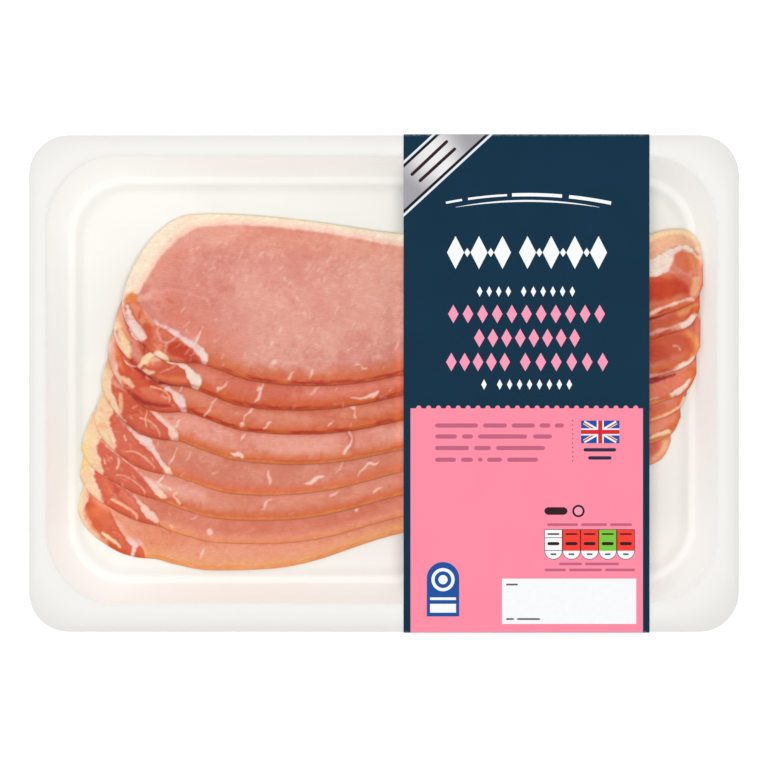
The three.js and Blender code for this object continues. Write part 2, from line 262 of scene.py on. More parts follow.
class Surface:
    """A node material round one Principled shader."""

    def __init__(self, name: str, finish: dict[str, float | Sequence[float]]) -> None:
        """Start a material.

        Args:
            name: The material's name.
            finish: The shader's sockets that are the same all over.
        """
        self.material = bpy.data.materials.new(name)
        self.material.use_nodes = True
        self.tree = self.material.node_tree
        self.shader = self.tree.nodes["Principled BSDF"]
        self.kept: dict[str, bpy.types.NodeSocket] = {}
        for socket, value in finish.items():
            self.shader.inputs[socket].default_value = value

    def node(self, kind: str, settings: dict[str, object], inputs: dict[str | int, Input]) -> bpy.types.Node:
        """Add a node.

        Args:
            kind: The node's type.
            settings: Its properties, set before its sockets.
            inputs: Values or links by socket name or number.

        Returns:
            The node.
        """
        made = self.tree.nodes.new(kind)
        for name, value in settings.items():
            setattr(made, name, value)
        for socket, value in inputs.items():
            self.feed(made.inputs[socket], value)
        return made

    def feed(self, socket: bpy.types.NodeSocket, value: Input) -> None:
        """Link a socket, or set it."""
        if isinstance(value, Value):
            value = value.socket
        if isinstance(value, bpy.types.NodeSocket):
            self.tree.links.new(value, socket)
        else:
            socket.default_value = value

    def mix(self, share: Value | float, start: Input, end: Input) -> bpy.types.NodeSocket:
        """Mix two colours by a share of the second."""
        made = self.node("ShaderNodeMix", {"data_type": "RGBA"}, {0: share, 6: start, 7: end})
        return made.outputs[2]

    def place(self) -> bpy.types.NodeSocket:
        """The place on the pack, in millimetres."""
        if "place" not in self.kept:
            where = self.node("ShaderNodeTexCoord", {}, {})
            self.kept["place"] = self.vector("MULTIPLY", where.outputs["Object"], (1 / MM,) * 3)
        return self.kept["place"]

    def vector(self, operation: str, first: Input, second: Input) -> bpy.types.NodeSocket:
        """Work on two vectors."""
        return self.node("ShaderNodeVectorMath", {"operation": operation}, {0: first, 1: second}).outputs[0]

    def axes(self, place: bpy.types.NodeSocket) -> tuple[Value, Value, Value]:
        """The three parts of a vector."""
        made = self.node("ShaderNodeSeparateXYZ", {}, {0: place})
        return Value(self, made.outputs[0]), Value(self, made.outputs[1]), Value(self, made.outputs[2])

    def field(self, name: str) -> Value:
        """A number that the mesh carries at its points."""
        if name not in self.kept:
            made = self.node("ShaderNodeAttribute", {"attribute_name": name}, {})
            self.kept[name] = made.outputs["Fac"]
        return Value(self, self.kept[name])

    def noise(self, place: Input, scale: float, detail: float = 2.0, roughness: float = 0.5) -> Value:
        """Soft noise from 0 to 1 with so many waves a millimetre."""
        inputs = {"Vector": place, "Scale": scale, "Detail": detail, "Roughness": roughness}
        return Value(self, self.node("ShaderNodeTexNoise", {}, inputs).outputs["Fac"])

    def stretched(self, degrees: float, stretch: Triple) -> bpy.types.NodeSocket:
        """The place, turned about Z and then scaled along each axis."""
        inputs = {"Vector": self.place(), "Rotation": (0, 0, math.radians(degrees)), "Scale": stretch}
        return self.node("ShaderNodeMapping", {"vector_type": "POINT"}, inputs).outputs[0]

    def shade(self, colour: Input, roughness: Value | None = None, relief: Value | None = None,
              depth: float = 1.0) -> None:
        """Feed the shader.

        Args:
            colour: The base colour.
            roughness: The roughness, where it varies.
            relief: A height in millimetres for the bump.
            depth: The strength of that bump.
        """
        self.feed(self.shader.inputs["Base Color"], colour)
        if roughness is not None:
            self.feed(self.shader.inputs["Roughness"], roughness)
        if relief is not None:
            bump = self.node("ShaderNodeBump", {}, {"Strength": depth, "Distance": MM, "Height": relief})
            self.feed(self.shader.inputs["Normal"], bump.outputs[0])


# Modelling helpers

def pick(piece: bpy.types.Object) -> None:
    """Select one object alone and make it active."""
    bpy.ops.object.select_all(action="DESELECT")
    piece.select_set(True)
    bpy.context.view_layer.objects.active = piece


def finish_with(piece: bpy.types.Object, kind: str, **settings: object) -> None:
    """Add a modifier with these settings and apply it."""
    pick(piece)
    bpy.ops.object.modifier_add(type=kind)
    modifier = piece.modifiers[-1]
    for name, value in settings.items():
        setattr(modifier, name, value)
    bpy.ops.object.modifier_apply(modifier=modifier.name)


def face_outwards(piece: bpy.types.Object) -> None:
    """Turn all faces of a piece outwards."""
    pick(piece)
    bpy.ops.object.mode_set(mode="EDIT")
    bpy.ops.mesh.select_all(action="SELECT")
    bpy.ops.mesh.normals_make_consistent(inside=False)
    bpy.ops.object.mode_set(mode="OBJECT")


def smooth(piece: bpy.types.Object, degrees: float) -> None:
    """Shade a piece smooth, with hard edges where faces meet at a sharper angle."""
    pick(piece)
    bpy.ops.object.shade_smooth_by_angle(angle=math.radians(degrees))


def hand_over(piece: bpy.types.Object, slot: str, *nodes: str) -> bpy.types.Object:
    """Say what a finished piece rides on and which solids it replaces."""
    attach(piece, BODY)
    if nodes:
        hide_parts(*nodes)
    return piece


def put_selected(piece: bpy.types.Object, old: np.ndarray, new: np.ndarray) -> None:
    """Move the selected vertices of a piece in edit mode.

    Args:
        piece: The object in edit mode.
        old: Where the vertices are, one row for each.
        new: Where each of them goes, in the same order.
    """
    mesh = bmesh.from_edit_mesh(piece.data)
    for vertex in mesh.verts:
        if vertex.select:
            gaps = np.abs(old * MM - np.array(vertex.co)).sum(axis=1)
            vertex.co = new[int(gaps.argmin())] * MM
    bmesh.update_edit_mesh(piece.data)


def raise_rings(name: str, rings: Sequence[np.ndarray], filled: bool) -> bpy.types.Object:
    """Extrude a circle from ring to ring.

    Args:
        name: The new object's name.
        rings: Rows of places, equally many in each ring, in millimetres.
        filled: Whether the first and last rings are closed by faces.

    Returns:
        The object, in object mode.
    """
    count = len(rings[0])
    bpy.ops.object.select_all(action="DESELECT")
    bpy.ops.mesh.primitive_circle_add(vertices=count, radius=MM, fill_type="NGON" if filled else "NOTHING")
    piece = bpy.context.active_object
    piece.name = name
    start = np.array([v.co for v in piece.data.vertices]) / MM
    bpy.ops.object.mode_set(mode="EDIT")
    bpy.ops.mesh.select_all(action="SELECT")
    put_selected(piece, start, rings[0])
    for below, above in zip(rings[:-1], rings[1:]):
        if filled:
            bpy.ops.mesh.extrude_region_move()
        else:
            bpy.ops.mesh.extrude_edges_move()
        put_selected(piece, below, above)
    bpy.ops.object.mode_set(mode="OBJECT")
    face_outwards(piece)
    return piece


@dataclass(frozen=True)
class RoundedBox:
    """A rounded rectangle lying flat."""

    half_x: float
    half_y: float
    radius: float
    middle: Point = (0.0, 0.0)

    def inset(self, by: float, share: float = 1.0) -> "RoundedBox":
        """The same, smaller by a width all round, with corners tighter by a share of it."""
        return RoundedBox(self.half_x - by, self.half_y - by, self.radius - share * by, self.middle)

    def ring(self, height: float, steps: int) -> np.ndarray:
        """Its points at a height, anticlockwise, with so many steps a corner."""
        points = []
        for quarter, (sign_x, sign_y) in enumerate(((1, 1), (-1, 1), (-1, -1), (1, -1))):
            for step in range(steps + 1):
                angle = math.pi / 2 * (quarter + step / steps)
                points.append((
                    self.middle[0] + sign_x * (self.half_x - self.radius) + self.radius * math.cos(angle),
                    self.middle[1] + sign_y * (self.half_y - self.radius) + self.radius * math.sin(angle),
                    height,
                ))
        return np.array(points)

    def outside(self, x: np.ndarray, y: np.ndarray) -> np.ndarray:
        """How far places lie outside it, negative inside."""
        dx = np.abs(x - self.middle[0]) - (self.half_x - self.radius)
        dy = np.abs(y - self.middle[1]) - (self.half_y - self.radius)
        corner = np.hypot(np.maximum(dx, 0), np.maximum(dy, 0))
        return corner + np.minimum(np.maximum(dx, dy), 0) - self.radius


# Tray and film

@dataclass(frozen=True)
class TrayPlastic:
    """White thermoformed plastic with a satin gloss, a painted glow in its inside walls and painted tones
    that even out the light.
    """

    # One white plastic throughout: the inside is painted lighter and the floor painted darker than the brim,
    # to even out the light that falls on them.
    brim: Rgb = (236, 235, 231)
    inside: Rgb = (241, 240, 235)
    floor: Rgb = (226, 225, 219)
    lit: Rgb = (240, 242, 240)
    cloud: Rgb = (238, 238, 235)
    cloud_share: float = 0.3
    inside_below: float = 26.0
    floor_below: float = 5.0
    roughness: float = 0.5
    roughness_swing: float = 0.16

    def surface(self) -> Surface:
        """Make the material."""
        made = Surface("tray_plastic", {"Roughness": self.roughness, "Specular IOR Level": 0.2,
                                        "Emission Strength": 1.0})
        height = made.axes(made.place())[2]
        cloud = made.noise(made.place(), 0.03, 2.0)
        low = height.ramp(self.inside_below, self.inside_below - 2)
        colour = made.mix(low, tone(self.brim), tone(self.inside))
        colour = made.mix(height.ramp(self.floor_below, self.floor_below - 2.5), colour, tone(self.floor))
        colour = made.mix(cloud.ramp(0.35, 0.75) * self.cloud_share, colour, tone(self.cloud))
        haze = made.noise(made.place(), 0.6, 3.0)
        # Painted glow: the inside walls give off light of their own, though no lamp is there.
        glow = made.field("glow")
        made.feed(made.shader.inputs["Emission Color"], made.mix(glow, (0, 0, 0, 1), tone(self.lit)))
        roughness = haze * self.roughness_swing + (self.roughness - self.roughness_swing / 2)
        made.shade(colour, roughness=roughness, relief=haze * 0.05, depth=0.5)
        return made


@dataclass(frozen=True)
class LidFilm:
    """Clear lidding film that shows mostly where it is seen at a slant."""

    facing_alpha: float = 0.003
    slant_alpha: float = 0.12
    haze_alpha: float = 0.006
    pale_tone: Rgb = (250, 250, 250)
    cool_tone: Rgb = (240, 243, 245)

    def surface(self) -> Surface:
        """Make the material."""
        made = Surface("lid_film", {"Roughness": 0.08, "IOR": 1.45})
        slant = Value(made, made.node("ShaderNodeLayerWeight", {}, {"Blend": 0.35}).outputs["Facing"])
        ripple = made.noise(made.stretched(18, (0.6, 1.8, 1)), 0.02, 2.0)
        crease = made.noise(made.stretched(-32, (0.4, 2.6, 1)), 0.05, 3.0)
        haze = made.noise(made.place(), 0.05, 2.0)
        alpha = slant * self.slant_alpha + (haze * self.haze_alpha + self.facing_alpha)
        made.feed(made.shader.inputs["Alpha"], alpha)
        made.shade(made.mix(haze, tone(self.pale_tone), tone(self.cool_tone)),
                   roughness=haze * 0.06 + 0.05, relief=ripple * 1.2 + crease * 0.35, depth=0.6)
        return made


@dataclass(frozen=True)
class Tray:
    """The thermoformed tray: a flat flange, leaning walls, a round floor edge and four low feet."""

    flange_top: float = 26.4
    flange_thickness: float = 0.7
    edge_round: float = 0.2
    wall: float = 0.6
    foot_height: float = 1.2
    brim: RoundedBox = RoundedBox(125, 87.45, 14)
    mouth: RoundedBox = RoundedBox(117.8, 78.6, 25, (-0.7, 1.3))
    mouth_round: float = 1.2
    floor_inset: float = 10.6
    corner_share: float = 0.7
    floor_round: float = 4.4
    foot: RoundedBox = RoundedBox(4.4, 17, 3)
    foot_middle: Point = (99, 34)
    foot_sunk: float = 0.3
    foot_bevel: float = 0.25
    foot_steps: int = 6
    corner_steps: int = 20
    film_thickness: float = 0.25
    film_inset: float = 0.15
    film_gap: float = 0.02
    skin: float = 0.1
    floor_curve: tuple[Point, ...] = (
        (-1, 1), (-0.78, 0.68), (-0.45, 0.4), (-0.2, 0.2), (0.1, 0.075), (0.4, 0.015), (0.7, 0),
    )
    # How strongly the inside glows at each height: painted light, brightest in the walls.
    glow_by_height: tuple[Point, ...] = (
        (1.5, 0), (2.2, 0.06), (3.4, 0.3), (6.4, 0.42), (25.2, 0.53), (25.6, 0.46), (26.1, 0.22), (26.38, 0),
    )

    @property
    def floor_top(self) -> float:
        """The height of the tray's inside floor."""
        return self.foot_height + self.wall

    def profile(self) -> list[tuple[RoundedBox, float]]:
        """The tray's inside from the mouth down: rounded rectangles and their heights."""
        rounding = [
            (self.mouth.inset(-self.mouth_round * (1 - math.sin(turn))),
             self.flange_top - self.mouth_round * (1 - math.cos(turn)))
            for turn in np.linspace(0, math.pi / 2, 5)
        ]
        foot = [
            (self.mouth.inset(self.floor_inset + self.floor_round * out, self.corner_share),
             self.floor_top + self.floor_round * up)
            for out, up in self.floor_curve
        ]
        return rounding + foot

    def build_shell(self) -> bpy.types.Object:
        """Model the tray as one closed shell and put its feet on."""
        inside = self.profile()
        steps = self.corner_steps
        under = self.flange_top - self.flange_thickness
        outside = [(box.inset(-self.wall), z - self.wall) for box, z in reversed(inside[4:])]
        flange = [
            (self.mouth.inset(-self.wall - 0.5 * self.mouth_round), under),
            (self.brim.inset(self.edge_round), under),
            (self.brim, under + self.edge_round),
            (self.brim, self.flange_top - self.edge_round),
            (self.brim.inset(self.edge_round), self.flange_top),
        ]
        rings = [box.ring(z, steps) for box, z in [*outside, *flange, *inside]]
        shell = raise_rings("bacon_tray", rings, filled=True)
        for sign_x in (-1, 1):
            for sign_y in (-1, 1):
                self.add_foot(shell, sign_x, sign_y)
        smooth(shell, 50)
        return shell

    def add_foot(self, shell: bpy.types.Object, sign_x: int, sign_y: int) -> None:
        """Join one low foot to the tray's base."""
        middle = (sign_x * self.foot_middle[0], sign_y * self.foot_middle[1])
        pad = RoundedBox(self.foot.half_x, self.foot.half_y, self.foot.radius, middle)
        top = self.foot_height + self.foot_sunk
        levels = ((pad.inset(self.foot_bevel), 0), (pad, self.foot_bevel), (pad, top))
        rings = [box.ring(z, self.foot_steps) for box, z in levels]
        foot = raise_rings("foot", rings, filled=True)
        finish_with(shell, "BOOLEAN", operation="UNION", solver="EXACT", object=foot)
        bpy.data.objects.remove(foot)

    def build_film(self) -> bpy.types.Object:
        """Model the lid film, a thin closed sheet on the flange."""
        outline = self.brim.inset(self.film_inset)
        top = self.flange_top + self.film_thickness
        low = self.flange_top + self.film_gap
        rings = [outline.ring(low, self.corner_steps), outline.ring(top, self.corner_steps)]
        film = raise_rings("clear_lid", rings, filled=True)
        smooth(film, 30)
        return film

    def inside_height(self, x: np.ndarray, y: np.ndarray) -> np.ndarray:
        """The height of the tray's inside at places."""
        height = np.full(x.shape, self.flange_top)
        profile = self.profile()
        for (outer, outer_z), (inner, inner_z) in zip(profile[:-1], profile[1:]):
            beyond, short = inner.outside(x, y), -outer.outside(x, y)
            between = (short > 0) & (beyond > 0)
            share = beyond[between] / (beyond[between] + short[between])
            height[between] = inner_z + (outer_z - inner_z) * share
        last, last_z = profile[-1]
        height[last.outside(x, y) <= 0] = last_z
        return height

    def paint_wall_glow(self, shell: bpy.types.Object) -> None:
        """Store the painted glow at each point, in place of light that comes through the plastic: most in the
        walls, none above.
        """
        x, y, height = (np.array([v.co for v in shell.data.vertices]) / MM).T
        inside = np.abs(height - self.inside_height(x, y)) < self.skin
        share = np.interp(height, *np.array(self.glow_by_height).T) * inside
        stored = shell.data.attributes.new("glow", "FLOAT", "POINT")
        stored.data.foreach_set("value", share.astype(np.float32))

    def build(self) -> None:
        """Build and dress the tray and its lid."""
        shell = self.build_shell()
        # Painted glow in the inside walls.
        self.paint_wall_glow(shell)
        shell.data.materials.append(TrayPlastic().surface().material)
        hand_over(shell, "tray_plastic", "tray")
        log.info("tray: %d faces", len(shell.data.polygons))
        film = self.build_film()
        film.data.materials.append(LidFilm().surface().material)
        hand_over(film, "lid_film", "film")
        log.info("film: %d faces", len(film.data.polygons))


# Rashers

def smooth_curve(points: Sequence[Sequence[float]], steps: int = 8) -> np.ndarray:
    """Draw a smooth curve through points.

    Args:
        points: The points, each with two or more numbers.
        steps: How many stretches lie between two points.

    Returns:
        The curve's points, one row each.
    """
    given = np.array(points, float)
    ends = np.vstack([given[:1], given, given[-1:]])
    share = np.linspace(0, len(given) - 1, steps * (len(given) - 1) + 1)
    first = np.minimum(share.astype(int), len(given) - 2)
    u = (share - first)[:, None]
    before, here, there, after = (ends[first + n] for n in range(4))
    leave, arrive = (there - before) / 2, (after - here) / 2
    cubic = 2 * here - 2 * there + leave + arrive
    square = 3 * there - 3 * here - 2 * leave - arrive
    return cubic * u ** 3 + square * u ** 2 + leave * u + here


def depth_in(places: np.ndarray, stroke: np.ndarray) -> np.ndarray:
    """Work out how deep places lie inside a stroke, negative outside it.

    Args:
        places: The places, one row each.
        stroke: The stroke's points, each with its half width there.

    Returns:
        The depth at each place, in millimetres.
    """
    deepest = np.full(len(places), -1e3)
    for start, end in zip(stroke[:-1], stroke[1:]):
        run = end[:2] - start[:2]
        share = np.clip((places - start[:2]) @ run / max(float(run @ run), 1e-9), 0, 1)
        gap = np.hypot(*(places - start[:2] - share[:, None] * run).T)
        deepest = np.maximum(deepest, start[2] + share * (end[2] - start[2]) - gap)
    return deepest


def distance_to(places: np.ndarray, line: np.ndarray) -> np.ndarray:
    """The distance of places from a line."""
    return -depth_in(places, np.column_stack([line, np.zeros(len(line))]))


@dataclass(frozen=True)
class Bulge:
    """A stretch of a slice that may be slimmer or fuller, by where it is and how far it reaches."""

    at: float
    reach: float

    def near(self, along: np.ndarray) -> np.ndarray:
        """How much each place along the slice belongs to it, from 0 to 1."""
        return np.exp(-(((along - self.at) / self.reach) ** 2))


@dataclass(frozen=True)
class Slice:
    """The outline that all the rashers share: heights above the left tip by the distance along."""

    length: float = 204.8
    rind: tuple[Point, ...] = (
        (0, 1.2), (1.6, 7.4), (5.4, 15.6), (11, 23.4), (19, 29.6), (28, 31.2), (46, 30.7), (70, 28.2),
        (99, 24.2), (141, 21.6), (180, 23.2), (193, 25.6), (200, 25.2), (203.6, 20.8), (204.8, 14),
    )
    lean: tuple[Point, ...] = (
        (0, -1.2), (1.6, -5.6), (5, -10.2), (9, -13.9), (14, -17.4), (20, -19.4), (27, -20.4), (34, -23.2),
        (46, -27.3), (64, -29), (81, -28.4), (99, -25.2), (141, -14.8), (180, -6.6), (193, -3.2),
        (201.4, 0.2), (204.8, 6),
    )
    fat_on_rind: tuple[Point, ...] = (
        (0, 5.2), (4, 6.4), (11, 6.8), (18, 6.7), (22, 5.9), (27, 4.7), (35, 3.9), (44, 3.5), (69, 3.4),
        (87, 3.9), (99, 4.6), (140, 5), (185, 5.4), (193, 6.2), (199, 5.6), (202, 3.2), (204.8, 0.8),
    )
    fat_on_lean: tuple[Point, ...] = ((0, 5.0), (2, 4.2), (4, 2.6), (6.5, 0.8), (9, -0.6))
    cap: Bulge = Bulge(12, 13)
    eye: Bulge = Bulge(50, 28)
    waist: Bulge = Bulge(108, 42)
    tail: Bulge = Bulge(185, 34)


@dataclass(frozen=True)
class Lie:
    """How a rasher lies against the top one, and how its slice differs from the shared outline."""

    number: int
    right: float
    down: float
    turn: float
    longer: float
    eye: float
    waist: float
    tail: float
    cap: float


LIES = (
    Lie(1, right=0, down=0, turn=0, longer=0, eye=0, waist=0, tail=0, cap=2.4),
    Lie(2, right=-2.9, down=8.9, turn=0.5, longer=1.9, eye=0, waist=1.4, tail=0, cap=-0.5),
    Lie(3, right=-4.9, down=18.4, turn=-0.9, longer=3.9, eye=0, waist=1.6, tail=2, cap=3),
    Lie(4, right=-7.1, down=29, turn=-0.4, longer=4.9, eye=0.4, waist=1.6, tail=2.1, cap=0.5),
    Lie(5, right=-9.6, down=40, turn=0.9, longer=4.2, eye=0.6, waist=4, tail=0, cap=-1),
    Lie(6, right=-14.4, down=49.6, turn=1.6, longer=7, eye=1.8, waist=4.4, tail=0, cap=-3.8),
    Lie(7, right=-15, down=58.6, turn=1.8, longer=4.2, eye=2.5, waist=5.2, tail=0, cap=-3.6),
    Lie(8, right=-15.8, down=69.2, turn=2.8, longer=-4, eye=3.9, waist=8.6, tail=0, cap=-2),
)


class Rasher:
    """One rasher's place and outline on the pack."""

    top_tip: Point = (-92.4, 28.6)
    shape = Slice()

    def __init__(self, lie: Lie) -> None:
        """Work out the outline of the rasher that lies so."""
        self.lie = lie
        self.stretch = 1 + lie.longer / self.shape.length
        self.rind_line = smooth_curve(self.shape.rind)
        self.lean_line = smooth_curve(self.shape.lean)

    def high(self, along: np.ndarray) -> np.ndarray:
        """The rind edge's height at places along the slice."""
        return np.interp(along, self.rind_line[:, 0], self.rind_line[:, 1])

    def low(self, along: np.ndarray) -> np.ndarray:
        """The lean edge's height at places along the slice."""
        lie, shape = self.lie, self.shape
        slimmer = lie.eye * shape.eye.near(along) + lie.waist * shape.waist.near(along)
        fuller = lie.tail * shape.tail.near(along) + lie.cap * shape.cap.near(along)
        return np.interp(along, self.lean_line[:, 0], self.lean_line[:, 1]) - fuller + slimmer

    def on_pack(self, along: np.ndarray, height: np.ndarray) -> np.ndarray:
        """Turn places in the slice's own frame into places on the pack, one row each."""
        pivot = self.shape.length / 2
        turn = math.radians(self.lie.turn)
        x = along * self.stretch - pivot
        return np.column_stack([
            self.top_tip[0] + self.lie.right + pivot + x * math.cos(turn) - height * math.sin(turn),
            self.top_tip[1] - self.lie.down + x * math.sin(turn) + height * math.cos(turn),
        ])

    def in_slice(self, places: np.ndarray) -> np.ndarray:
        """Turn places on the pack into the slice's own frame: the distance along, and the height."""
        pivot = self.shape.length / 2
        turn = math.radians(self.lie.turn)
        dx = places[:, 0] - self.top_tip[0] - self.lie.right - pivot
        dy = places[:, 1] - self.top_tip[1] + self.lie.down
        along = (dx * math.cos(turn) + dy * math.sin(turn) + pivot) / self.stretch
        return np.column_stack([along, dy * math.cos(turn) - dx * math.sin(turn)])

    def holds(self, places: np.ndarray) -> np.ndarray:
        """Whether the rasher's outline holds each place."""
        along, height = self.in_slice(places).T
        inside = (along >= 0) & (along <= self.shape.length)
        return inside & (height >= self.low(along)) & (height <= self.high(along))

    def rind_outline(self) -> np.ndarray:
        """The rind edge's line on the pack."""
        return self.on_pack(self.rind_line[:, 0], self.rind_line[:, 1])

    def lean_outline(self) -> np.ndarray:
        """The lean edge's line on the pack."""
        along = self.lean_line[:, 0]
        return self.on_pack(along, self.low(along))

    def outline(self) -> np.ndarray:
        """The closed outline on the pack."""
        lean = self.lean_outline()
        return np.vstack([lean, self.rind_outline()[::-1], lean[:1]])

    def fat_rim(self, at_tip: float, tip_reach: float) -> np.ndarray:
        """The stroke of the fat along the rind and round the tip.

        Args:
            at_tip: How thick the fat is at the tip, as a share of the usual.
            tip_reach: How far along the rind it takes to be as thick as usual.

        Returns:
            The stroke's points, each with the fat's thickness there.
        """
        shape = self.shape
        rind_along, lean_along = self.rind_line[:, 0], self.lean_line[:, 0]
        lean_along = lean_along[lean_along <= shape.fat_on_lean[-1][0]]
        on_rind = np.interp(rind_along, *np.array(shape.fat_on_rind).T)
        on_rind *= at_tip + (1 - at_tip) * np.clip(rind_along / tip_reach, 0, 1)
        on_lean = np.interp(lean_along, *np.array(shape.fat_on_lean).T) * at_tip
        lean = np.column_stack([self.on_pack(lean_along, self.low(lean_along)), on_lean])
        return np.vstack([lean[::-1], np.column_stack([self.rind_outline(), on_rind])])


def between_cells(grid: np.ndarray, i: np.ndarray, j: np.ndarray, u: np.ndarray, v: np.ndarray) -> np.ndarray:
    """Read a grid between its cells.

    Args:
        grid: The values, by cell.
        i: The cell's row for each place.
        j: Its column.
        u: How far each place is on its way to the next row, from 0 to 1.
        v: How far it is on its way to the next column.

    Returns:
        The value at each place.
    """
    low = grid[i, j] * (1 - v) + grid[i, j + 1] * v
    high = grid[i + 1, j] * (1 - v) + grid[i + 1, j + 1] * v
    return low * (1 - u) + high * u


class Heap:
    """The top of what lies in the tray so far, on a grid of square cells."""

    cell = 0.75
    gap = 0.12
    reach = 7
    passes = 30

    def __init__(self, tray: Tray) -> None:
        """Start with the empty tray."""
        self.x = np.arange(-tray.brim.half_x, tray.brim.half_x + self.cell, self.cell)
        self.y = np.arange(-tray.brim.half_y, tray.brim.half_y + self.cell, self.cell)
        grid_x, grid_y = np.meshgrid(self.x, self.y, indexing="ij")
        self.places = np.column_stack([grid_x.ravel(), grid_y.ravel()])
        self.shape = grid_x.shape
        self.top = tray.inside_height(grid_x, grid_y)

    @staticmethod
    def highest_near(values: np.ndarray) -> np.ndarray:
        """The greatest value in each cell and those round it, which widens a mask by a cell."""
        most = values.copy()
        for shift_x in (-1, 0, 1):
            for shift_y in (-1, 0, 1):
                most = np.maximum(most, np.roll(values, (shift_x, shift_y), (0, 1)))
        return most

    def summed(self, values: np.ndarray) -> np.ndarray:
        """The sum over a square of cells round each cell."""
        shifts = range(-(self.reach // 2), self.reach // 2 + 1)
        for axis in (0, 1):
            values = sum(np.roll(values, shift, axis) for shift in shifts)
        return values

    def rest(self, rasher: Rasher) -> np.ndarray:
        """Lay a soft slice on the heap.

        Args:
            rasher: The slice that comes next.

        Returns:
            The height of its underside in every cell.
        """
        mask = self.highest_near(self.highest_near(rasher.holds(self.places).reshape(self.shape)))
        bare = self.highest_near(self.top) + self.gap
        weight = np.maximum(self.summed(mask.astype(float)), 1e-9)
        sheet = bare.copy()
        for _ in range(self.passes):
            sheet = np.maximum(bare, self.summed(np.where(mask, sheet, 0)) / weight)
        return np.where(mask, sheet, bare)

    def take(self, rasher: Rasher, sheet: np.ndarray, thickness: float) -> None:
        """Add a rasher that rests at these heights."""
        inside = rasher.holds(self.places).reshape(self.shape)
        self.top = np.where(inside, np.maximum(self.top, sheet + thickness), self.top)

    def at(self, sheet: np.ndarray, places: np.ndarray) -> np.ndarray:
        """Read a sheet's height at places, between its cells."""
        fx = (places[:, 0] - self.x[0]) / self.cell
        fy = (places[:, 1] - self.y[0]) / self.cell
        i, j = fx.astype(int), fy.astype(int)
        return between_cells(sheet, i, j, fx - i, fy - j)


class Flesh(Enum):
    """The tones of the bacon as the photo shows them."""

    WHITE = (243, 222, 206)
    LILAC = (240, 206, 200)
    BLUSH = (244, 200, 184)
    CREAM = (246, 212, 172)
    PALE_PEACH = (241, 186, 150)
    PALE_ROSE = (234, 168, 152)
    ROSE = (219, 137, 121)
    PEACH = (231, 148, 116)
    LIGHT_PEACH = (236, 168, 140)
    SALMON = (224, 124, 98)
    ORANGE = (228, 122, 78)
    AMBER = (240, 156, 100)
    YELLOW = (241, 204, 130)
    CAP = (208, 98, 72)
    RED = (197, 78, 52)
    CURED_EDGE_AND_SHADE = (186, 70, 26)
    SHADOW = (158, 34, 14)
    SPOT = (224, 136, 80)
    FAT = (247, 227, 202)
    FAT_INNER = (246, 208, 188)
    FAT_EDGE = (242, 228, 194)
    BUTTER = (238, 200, 158)


@dataclass(frozen=True)
class Stroke:
    """A marking on the bacon, drawn in the photo's pixels."""

    tone: Flesh
    points: tuple[Triple, ...]
    soft: float = 1.2
    strength: float = 1.0
    relief: float = 0.0


StrokeTable = dict[tuple[int, ...], tuple[Stroke, ...]]


def placed_curve(points: Iterable[Triple]) -> np.ndarray:
    """A smooth curve on the pack through points in pixels, each with its half width."""
    return smooth_curve([(*PHOTO.place(x, y), PHOTO.size(half)) for x, y, half in points], 4)


@dataclass(frozen=True)
class RasherLook:
    """How one rasher is coloured: its lean, its cap, its seam and its edges."""

    light: Rgb
    deep: Rgb
    edge: Rgb
    line: float
    cap: Rgb
    seam_tone: Flesh
    seam: tuple[Triple, ...]
    tip_fat: float
    edge_reach: float
    shadow: float
    tip_reach: float = 9.0


